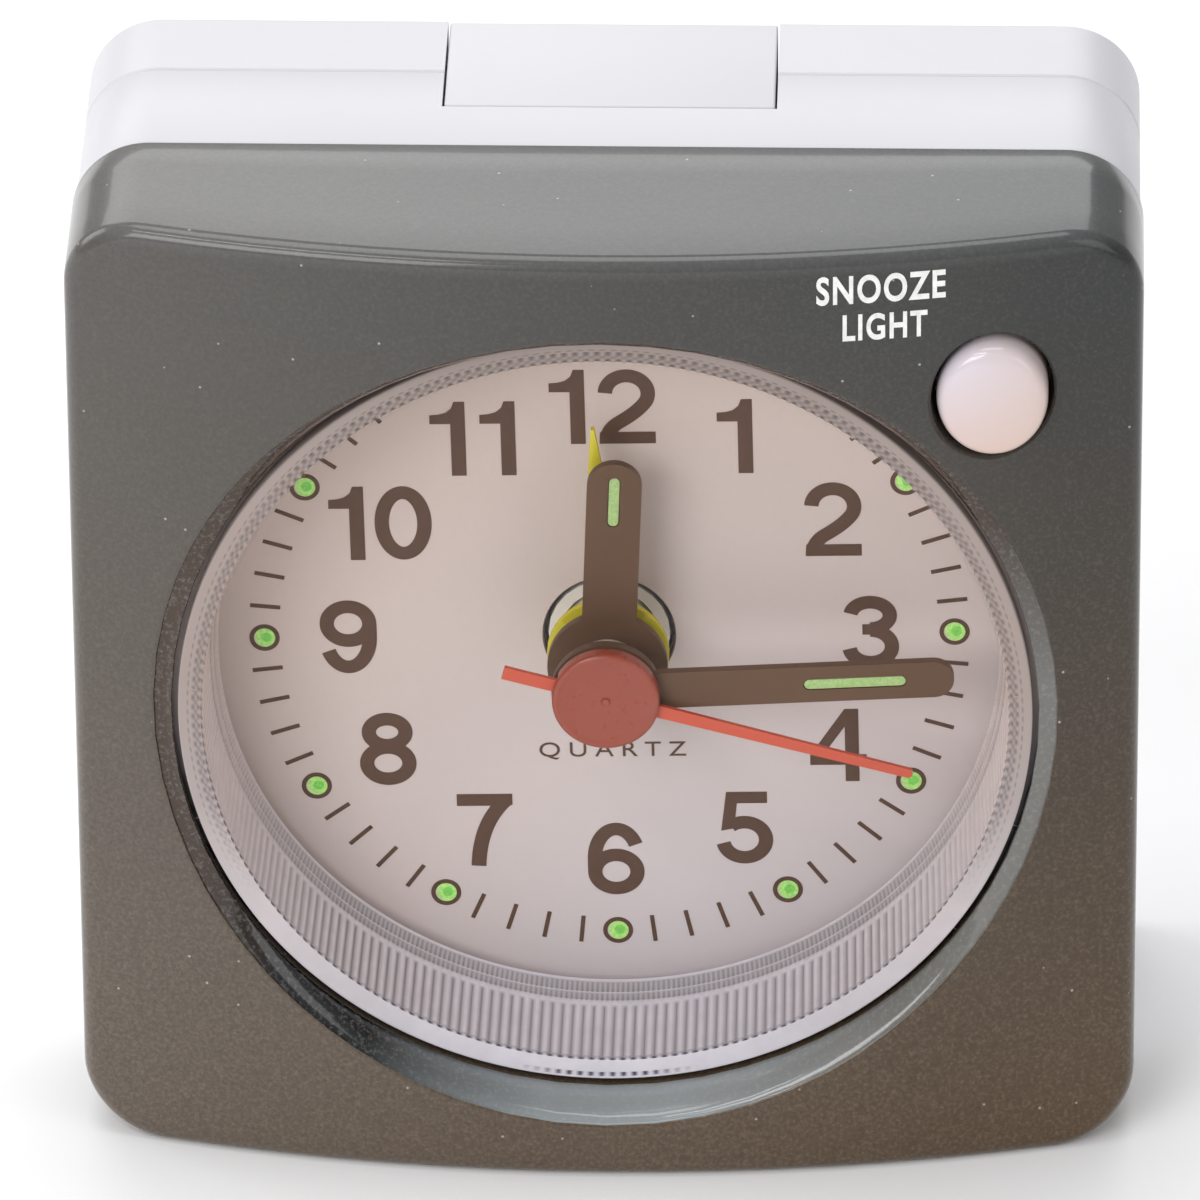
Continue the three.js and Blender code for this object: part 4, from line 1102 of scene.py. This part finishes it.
def mirrored(right):
    """The left side of an outline whose right side runs upwards, running back down."""
    return [(-x, z) for x, z in reversed(right)]


def hand(name, node, outline, hub, bore, edge=0.09, slot=None):
    """A flat hand with rounded edges. The hub and the bore are each a radius and a number of sides."""
    front, back = depth_range(node)
    blade = prism(name, outline, front, back)
    join(blade, cylinder(hub[0], front, back, steps=hub[1]))
    if slot:
        cut(blade, prism("slot", slot, front - 1, front + 0.12))
    cut(blade, cylinder(bore[0], front - 1, back + 1, steps=bore[1]))
    return rounded(blade, edge, 2, 50)


def bar_hand(name, node, body, angle, hub, bore, half_width, length, inlay):
    """A bar with a luminous inlay, given by its half-width and its two ends."""
    half, low, high = inlay
    slot = slot_outline(half + 0.06, low - 0.06, high + 0.06)
    blade = hand(name, node, round_bar(half_width, 0.0, length), (hub, 72), (bore, 40), slot=slot)
    settle(on_axis(blade, angle), body, HAND_BROWN, [node], smooth=40)
    front = depth_range(node)[0]
    fill = prism(f"{name}_lume", slot_outline(half, low, high), front + 0.02, front + 0.12)
    rounded(fill, 0.04, 2, 50)
    settle(on_axis(fill, angle), body, HAND_LUME, smooth=40)


def alarm_hand():
    side = smooth_path((0.52, 12.2), (0.34, 14.4), (0.09, 16.05), steps=6)
    outline = [(-0.55, 0), (0.55, 0), *side, *mirrored(side)]
    blade = hand("alarm_pointer", "alarm_hand", outline, (3.8, 72), (2.85, 48), 0.06)
    settle(on_axis(blade, ALARM_ANGLE), "alarm_set", HAND_YELLOW, ["alarm_hand"], smooth=40)


def second_hand():
    side = [(0.42, -6.6), (0.42, 4.0), (0.3, 19.5)]
    tip = arc((0, 19.5), (0.3, 0.25), 0, 180, 8)[1:-1]
    blade = hand("second_needle", "second_hand", side + tip + mirrored(side), (2.6, 64), (0.6, 24), 0.05)
    settle(on_axis(blade, SECOND_ANGLE), "second_set", HAND_RED, ["second_hand"], smooth=40)


def second_cap():
    """The needle's hub cap, a shallow dish with a small pip in its middle."""
    front, back = depth_range("second_hub_cap")
    dish = [(0, 0.02), (0.22, 0.02), (0.3, 0.14), (0.42, 0.16), (2.75, 0.1), (2.95, 0.03), (3.1, 0),
            (3.24, 0.04), (3.33, 0.14), (3.35, 0.3)]
    under = [(3.35, back - 0.04), (3.31, back), (2.9, back), (2.9, front + 0.3), (0, front + 0.3)]
    cap = turned("second_cap_disc", [(radius, front + dip) for radius, dip in dish] + under)
    cut(cap, block("notch", -0.75, 0.75, -0.1, 1, -4, 4))
    settle(on_axis(cap, SECOND_ANGLE), "second_set", CAP_RED, ["second_hub_cap"], smooth=40)


# ---- white case


def bar_opening():
    side, behind = BAR_HALF_WIDTH + BAR_GAP, REAR_BACK + 2
    top = block("opening", -side, side, BAR_FRONT - BAR_GAP, behind, HEIGHT - 3, HEIGHT + 2)
    return [top, block("opening", -side, side, PANEL_FRONT - 0.1, behind, 57.3, HEIGHT - 1)]


def white_row(inset, y):
    """A row of the white case. Its sides stand inside the bezel's, and its base is level with the bezel's."""
    return at_depth(case_outline(WHITE_INSET + inset, -WHITE_INSET), y)


def shell_ring(name, front, back, lip_front, lip_back):
    """A band of the white case. Its outer edges are rounded by lip_front and lip_back."""
    rows = [white_row(WALL, front), white_row(lip_front, front)]
    for share in (0.3, 0.6, 1.0):
        a = share * pi / 2
        rows.append(white_row(lip_front * (1 - sin(a)), front + lip_front * (1 - cos(a))))
    rows.append(white_row(0, (front + back) / 2))
    for share in (0.0, 0.4, 0.7):
        a = share * pi / 2
        rows.append(white_row(lip_back * (1 - cos(a)), back - lip_back * (1 - sin(a))))
    return loft(name, rows + [white_row(lip_back, back), white_row(WALL, back)], through=True)


def middle_case():
    """The band behind the bezel, with the bulkhead that carries dial and movement."""
    ring = shell_ring("middle_case_band", MIDDLE_FRONT, MIDDLE_BACK, 0.35, 0.12)
    join(ring, prism("plate", case_outline(WALL + 0.3), 9.1, 10.4))
    cut(ring, cylinder(4.1, 0, 20, (AXIS_X, AXIS_Z), 48), *bar_opening())
    settle(ring, "case", WHITE, ["middle_case"], smooth=32)


def rear_outline_rows():
    """Rows of the rear shell's outside, from its front edge to the flat back."""
    front, edge = REAR_FRONT, REAR_EDGE_RADIUS
    rows = [white_row(0.12, front), white_row(0, front + 0.12), white_row(0, (front + REAR_BACK) / 2)]
    for a in quarter(8):
        rows.append(white_row(edge * (1 - cos(a)), REAR_BACK - edge * (1 - sin(a))))
    return rows


SLOT_ROWS = [-4.8, -2.4, 0.0, 2.4, 4.8]
SOUND_Z = 50.5
SOUND_REACH = 7.0


def round_slot(half_length, z, half_height=0.5):
    """A level slot with round ends."""
    reach = half_length - half_height
    return arc((reach, z), half_height, -90, 90, 8) + arc((-reach, z), half_height, 90, 270, 8)


def rear_case():
    """The rear shell: knob wells, screw columns, battery compartment, sound slots and doorway."""
    body = loft("rear_case_shell", rear_outline_rows())
    cut(body, prism("cavity", case_outline(WALL + WHITE_INSET), REAR_FRONT - 1, PANEL_FRONT))
    wells = [middle_of(knob) for knob in KNOBS]
    screws = [middle_of(node) for node in CASE_SCREWS]
    for at in wells:
        join(body, cylinder(WELL_RADIUS + 0.9, WELL_FLOOR - 1, REAR_BACK - 0.5, at))
    for at in screws:
        join(body, cylinder(2.2, REAR_FRONT - 8, PANEL_FRONT + 1, at, 40))
    for x0, x1, z0, z1 in ((-29.7, 27.1, 17.1, 18.1), (26.1, 27.1, 2.4, 17.5), (-30.7, -29.7, 2.4, 18.1)):
        join(body, block("wall", x0, x1, 10.8, PANEL_FRONT + 0.5, z0, z1))
    mouth = ((0, -0.35), (0.1, -0.12), (0.35, 0), (1, 0.6))
    well = [(0, WELL_FLOOR), (WELL_RADIUS, WELL_FLOOR)]
    well += [(WELL_RADIUS + flare, REAR_BACK + rise) for flare, rise in mouth] + [(0, REAR_BACK + 0.6)]
    for at in wells:
        cut(body, turned("well", well, at), cylinder(1.4, 20, 26, at, 32))
    sink = [(0, 24.8), (2.1, 24.8), (2.1, REAR_BACK - 0.2), (2.3, REAR_BACK)]
    sink += [(2.8, REAR_BACK + 0.5), (0, REAR_BACK + 0.5)]
    for at in screws:
        cut(body, cylinder(1.1, 0, REAR_BACK + 1, at, 32), turned("counterbore", sink, at, 48))
    for z in SLOT_ROWS:
        slot = round_slot(sqrt(SOUND_REACH**2 - z * z), SOUND_Z + z)
        cut(body, prism("slot", slot, PANEL_FRONT - 1, REAR_BACK + 1))
    doorway = block("doorway", -27.5, 27.5, PANEL_FRONT - 0.2, REAR_BACK + 1, 2.9, 17.6)
    cut(body, doorway, *bar_opening())
    settle(body, "case", WHITE, ["rear_case"], smooth=32)


def alarm_bar():
    """The bar let into the top, which turns down over the rear edge."""
    top, back, radius = BAR_TOP, BAR_BACK, REAR_EDGE_RADIUS
    side = [(BAR_FRONT, top)]
    side += [(back - radius + radius * sin(a), top - radius + radius * cos(a)) for a in quarter(10)]
    side += [(back, 58.9), (24.6, 58.9), (24.6, top - 1.6), (BAR_FRONT, top - 1.6)]
    reach = BAR_HALF_WIDTH + 0.17
    bar = loft("alarm_bar_cap", [[(x, y, z) for y, z in side] for x in (-reach, reach)])
    rounded(bar, 0.16, 3, 60)
    join(bar, block("stem", -1.5, 1.5, 18.5, 21.5, 61.8, top - 1))
    settle(bar, "alarm_bar", WHITE, ["alarm_bar"], smooth=35)


def battery_door():
    """The door in the back, with a thumb hollow and grip ridges."""
    low, high = DOOR_LOW, DOOR_HIGH
    door = block("battery_door_panel", low.x, high.x, DOOR_FRONT, DOOR_BACK, low.z, high.z)
    cut(door, prism("hollow", round_slot(6.0, 14.0, 1.8), DOOR_BACK - 0.55, DOOR_BACK + 1))
    for z in (13.1, 14.0, 14.9):
        join(door, block("ridge", -4.4, 4.4, DOOR_BACK - 0.7, DOOR_BACK - 0.18, z - 0.17, z + 0.17))
    rounded(door, 0.14, 2, 50)
    settle(door, "battery_door", WHITE, ["battery_door"], smooth=35)


def snooze_button():
    """A nearly flat oval key with a rounded shoulder, and a flange that keeps it in the face."""
    flange, pin = 3.96, 1.2
    profile = [
        (0.0, -3.86), (0.8, -3.84), (1.6, -3.77), (2.3, -3.66), (2.75, -3.55), (2.95, -3.48), (3.12, -3.36),
        (3.26, -3.15), (3.36, -2.88), (BUTTON_RADIUS, -2.5), (BUTTON_RADIUS, 3.2), (flange, 3.2),
        (flange, 4.0), (pin, 4.0), (pin, BUTTON_BACK), (0.0, BUTTON_BACK),
    ]
    button = loft("snooze_button_key", [at_depth(button_oval(max(radius, 1e-6)), y) for radius, y in profile])
    settle(button, "snooze_button", BUTTON_WHITE, ["snooze_button"], smooth=45)


def setting_knob(node):
    """A fluted knob with a rounded rear edge and a shallow dish in its face."""
    at = middle_of(node)
    steps, flutes = 168, 14

    def ring(radius, depth, y):
        row = []
        for i in range(steps):
            a = 2 * pi * i / steps
            wave = max(0.0, cos(flutes * a)) ** 0.6
            r = radius - depth * wave
            row.append((at[0] + r * cos(a), y, at[1] + r * sin(a)))
        return row

    outer = 5.6
    rows = [ring(outer - 0.15, 0.4, KNOB_FRONT), ring(outer, 0.4, KNOB_FRONT + 0.15)]
    for inset, depth, drop in (
        (0, 0.4, 0.5), (0.12, 0.36, 0.22), (0.34, 0.26, 0.06), (0.7, 0, 0),
        (1.1, 0, 0), (1.3, 0, 0.08), (1.5, 0, 0.25), (5.0, 0, 0.3),
    ):
        rows.append(ring(outer - inset, depth, KNOB_BACK - drop))
    knob = loft(f"{node}_grip", rows)
    cut(knob, cylinder(1.1, 20, 26.6, at, 32))
    join(knob, turn_arrow(at))
    body = {"time_set_knob": "time_setter", "alarm_set_knob": "alarm_setter"}[node]
    settle(knob, body, KNOB_GREY, [node], smooth=35)


def turn_arrow(at):
    """A raised arc with an arrow head, which shows the way to turn."""
    start, radius, half = -40, 2.7, 0.22
    left, right = (arc(at, radius + side, start, 200, 30) for side in (half, -half))
    front, back = KNOB_BACK - 0.5, KNOB_BACK - 0.14
    rows = [at_depth(left, front), at_depth(right, front), at_depth(right, back), at_depth(left, back)]
    band = loft("arrow", [list(column) for column in zip(*rows)])
    a = radians(start)
    tangent, outward = Vector((sin(a), -cos(a))), Vector((cos(a), sin(a)))
    end = Vector(at) + radius * outward
    foot = end - tangent * 0.05
    head = [tuple(p) for p in (end + tangent * 1.3, foot + outward * 0.75, foot - outward * 0.75)]
    return join(band, prism("head", head, front, back))


def case_screw(node):
    """A pan head with a cross recess."""
    at = middle_of(node)
    low, high = depth_range(node)
    seat = 24.9
    profile = [(0, low), (0.8, low), (0.8, seat), (1.8, seat)]
    profile += [(1.8, high - 0.35), (1.7, high - 0.14), (1.45, high - 0.03), (1.1, high), (0, high)]
    screw = turned(f"{node}_pan_head", profile, at, 48)
    for wide, tall in ((1.05, 0.2), (0.2, 1.05)):
        x, z = at
        cut(screw, block("recess", x - wide, x + wide, high - 0.45, high + 1, z - tall, z + tall))
    settle(screw, "case", STEEL, [node], smooth=35)


# ---- inside


def cell_axis():
    """The depth and height of the battery's axis."""
    low, high = box_mm("battery")
    return (low.y + high.y) / 2 - EDGE_Y, (low.z + high.z) / 2


def battery():
    """An AA cell along x, with a crimped edge, a nub and a shrink sleeve."""
    low, high = box_mm("battery")
    y, z = cell_axis()
    radius = (high.z - low.z) / 2
    shoulder = high.x - 1.4
    base = ((0, 0), (5.2, 0), (5.4, 0.15), (6.5, 0.15), (radius - 0.12, 0.35), (radius, 0.8))
    crimp = ((radius, -0.7), (radius - 0.15, -0.25), (6.4, 0), (5.6, 0), (5.3, -0.3))
    crimp += ((3.3, -0.3), (2.9, 0), (2.75, 0.1))
    profile = [(r, low.x + rise) for r, rise in base] + [(r, shoulder + rise) for r, rise in crimp]
    profile += [(2.6, high.x - 0.25), (2.35, high.x), (0, high.x)]
    rows = [[(x, *spot) for spot in circle(max(r, 1e-6), 72, (y, z))] for r, x in profile]
    cell = loft("battery_cell", rows)
    paint(cell, lambda centre, normal: not low.x + 0.3 <= centre.x <= shoulder - 0.05, 1)
    settle(cell, "case", [JACKET, STEEL], ["battery"], smooth=35)


def contact_spring():
    """The coil spring at the battery's flat end."""
    low, high = box_mm("contact_spring")
    y, z = cell_axis()
    wire, steps, turns = 0.26, 150, 2.5
    start, length = low.x + wire, high.x - low.x - 2 * wire
    rows = []
    for t in (i / steps for i in range(steps + 1)):
        a = 2 * pi * turns * t
        radius = 2.2 + 1.8 * t
        rows.append([
            (start + length * t + lift, y + (radius + out) * cos(a), z + (radius + out) * sin(a))
            for out, lift in circle(wire, 10)
        ])
    spring = loft("contact_spring_wire", rows)
    settle(spring, "case", STEEL, ["contact_spring"], smooth=60)


def inner_parts():
    """The inner CAD parts keep their shape and take a finished material."""
    wheels = "alarm_wheel hour_wheel second_wheel third_wheel intermediate_wheel minute_work_wheel"
    steel = "movement_screw_1 movement_screw_2 quartz_crystal positive_contact negative_contact"
    for finish, nodes in (
        (GEAR_PLASTIC, wheels),
        (GEAR_PLASTIC, "alarm_set_pinion"),
        (STEEL, steel),
        (MOVEMENT, "movement_front movement_rear lamp_holder"),
        (BLACK, "controller_chip alarm_switch snooze_switch"),
        (BOARD, "circuit_board switch_board"),
        (SOFT_IRON, "stator_plate coil_core"),
        (BRASS, "centre_wheel"),
        (ROTOR_BLUE, "rotor_pinion"),
        (MAGNET, "rotor_magnet"),
        (COPPER, "drive_coil"),
        (SOUNDER_BRASS, "sounder"),
        (LAMP, "dial_lamp"),
    ):
        for node in nodes.split():
            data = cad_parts[node].data
            data.materials.clear()
            data.materials.append(finish)


# ---- the clock

front_bezel()
front_lens()
ribbed_ring()
dial_plate()
dial_numerals()
hour_dots()
minute_marks()
dial_word()
button_labels()
alarm_hand()
bar_hand("hour_bar", "hour_hand", "hour_set", HOUR_ANGLE, 3.75, 2.05, 1.7, 14.5, (0.33, 10.1, 13.5))
bar_hand("minute_bar", "minute_hand", "minute_set", MINUTE_ANGLE, 3.4, 1.25, 1.25, 21.6, (0.33, 12.3, 18.6))
second_hand()
second_cap()
snooze_button()
middle_case()
rear_case()
alarm_bar()
battery_door()
for knob in KNOBS:
    setting_knob(knob)
for screw in CASE_SCREWS:
    case_screw(screw)
battery()
contact_spring()
inner_parts()

# ---- floor, light and camera


def floor():
    """A plain pale sheet under the clock."""
    reach = 3.0
    data = bpy.data.meshes.new("floor")
    corners = [(-reach, -reach, 0), (reach, -reach, 0), (reach, reach, 0), (-reach, reach, 0)]
    data.from_pydata(corners, [], [(0, 1, 2, 3)])
    finish = Finish("floor_pale")
    fine = finish.noise(40.0, 2.0)
    finish.color(finish.tones(fine, srgb(246, 246, 247), srgb(250, 250, 251)))
    finish.rough(fine, 0.6, 0.7)
    data.materials.append(finish.material)
    placed("floor", data)


def area_light(name, place, size, power):
    """A soft rectangular lamp, in metres and watts, aimed at the clock."""
    light = bpy.data.lights.new(name, "AREA")
    light.shape = "RECTANGLE"
    light.size, light.size_y = size
    light.energy = power
    lamp = placed(name, light)
    lamp.location = place
    lamp.rotation_mode = "QUATERNION"
    lamp.rotation_quaternion = (Vector((0, 0, 0.03)) - Vector(place)).to_track_quat("-Z", "Y")


def light():
    world = bpy.data.worlds.new("studio")
    bpy.context.scene.world = world
    world.use_nodes = True
    background = world.node_tree.nodes["Background"]
    background.inputs["Color"].default_value = (1.0, 1.0, 1.0, 1)
    background.inputs["Strength"].default_value = 0.42
    area_light("front", (-0.4, -0.75, 0.45), (0.5, 0.4), 3.2)
    area_light("top", (-0.05, 0.12, 0.85), (0.6, 0.5), 3.0)
    area_light("left", (-0.75, 0.25, 0.35), (0.4, 0.4), 1.7)
    area_light("back", (-0.1, 0.85, 0.5), (0.9, 0.4), 1.9)
    area_light("right", (0.7, -0.45, 0.4), (0.5, 0.5), 1.0)
    area_light("edge", (-0.3, -0.42, 0.72), (0.4, 0.05), 0.8)


def camera():
    """A long lens at the photograph's angle, aimed a little below the clock's middle."""
    azimuth, elevation, roll = radians(1.78), radians(30.29), radians(-0.39)
    distance = 0.93602
    pivot = Vector((0, EDGE_Y / 1000, 0.033))
    level = cos(elevation)
    back = Vector((sin(azimuth) * level, -cos(azimuth) * level, sin(elevation)))
    right = Vector((cos(azimuth), sin(azimuth), 0))
    up = back.cross(right)
    side = cos(roll) * right + sin(roll) * up
    upright = -sin(roll) * right + cos(roll) * up
    # Where the picture's middle lies beside the pivot, in metres across and up.
    place = pivot + back * distance
    aim = pivot - 0.000349 * side + 0.005067 * upright
    back = (place - aim).normalized()
    side = upright.cross(back).normalized()
    upright = back.cross(side)
    data = bpy.data.cameras.new("camera")
    data.sensor_width = 36
    data.lens = 453.5
    data.clip_start, data.clip_end = 0.05, 20
    eye = placed("camera", data)
    eye.matrix_world = Matrix((side, upright, back)).transposed().to_4x4()
    eye.location = place
    bpy.context.scene.camera = eye


floor()
light()
camera()
bpy.context.scene.view_settings.view_transform = "Standard"
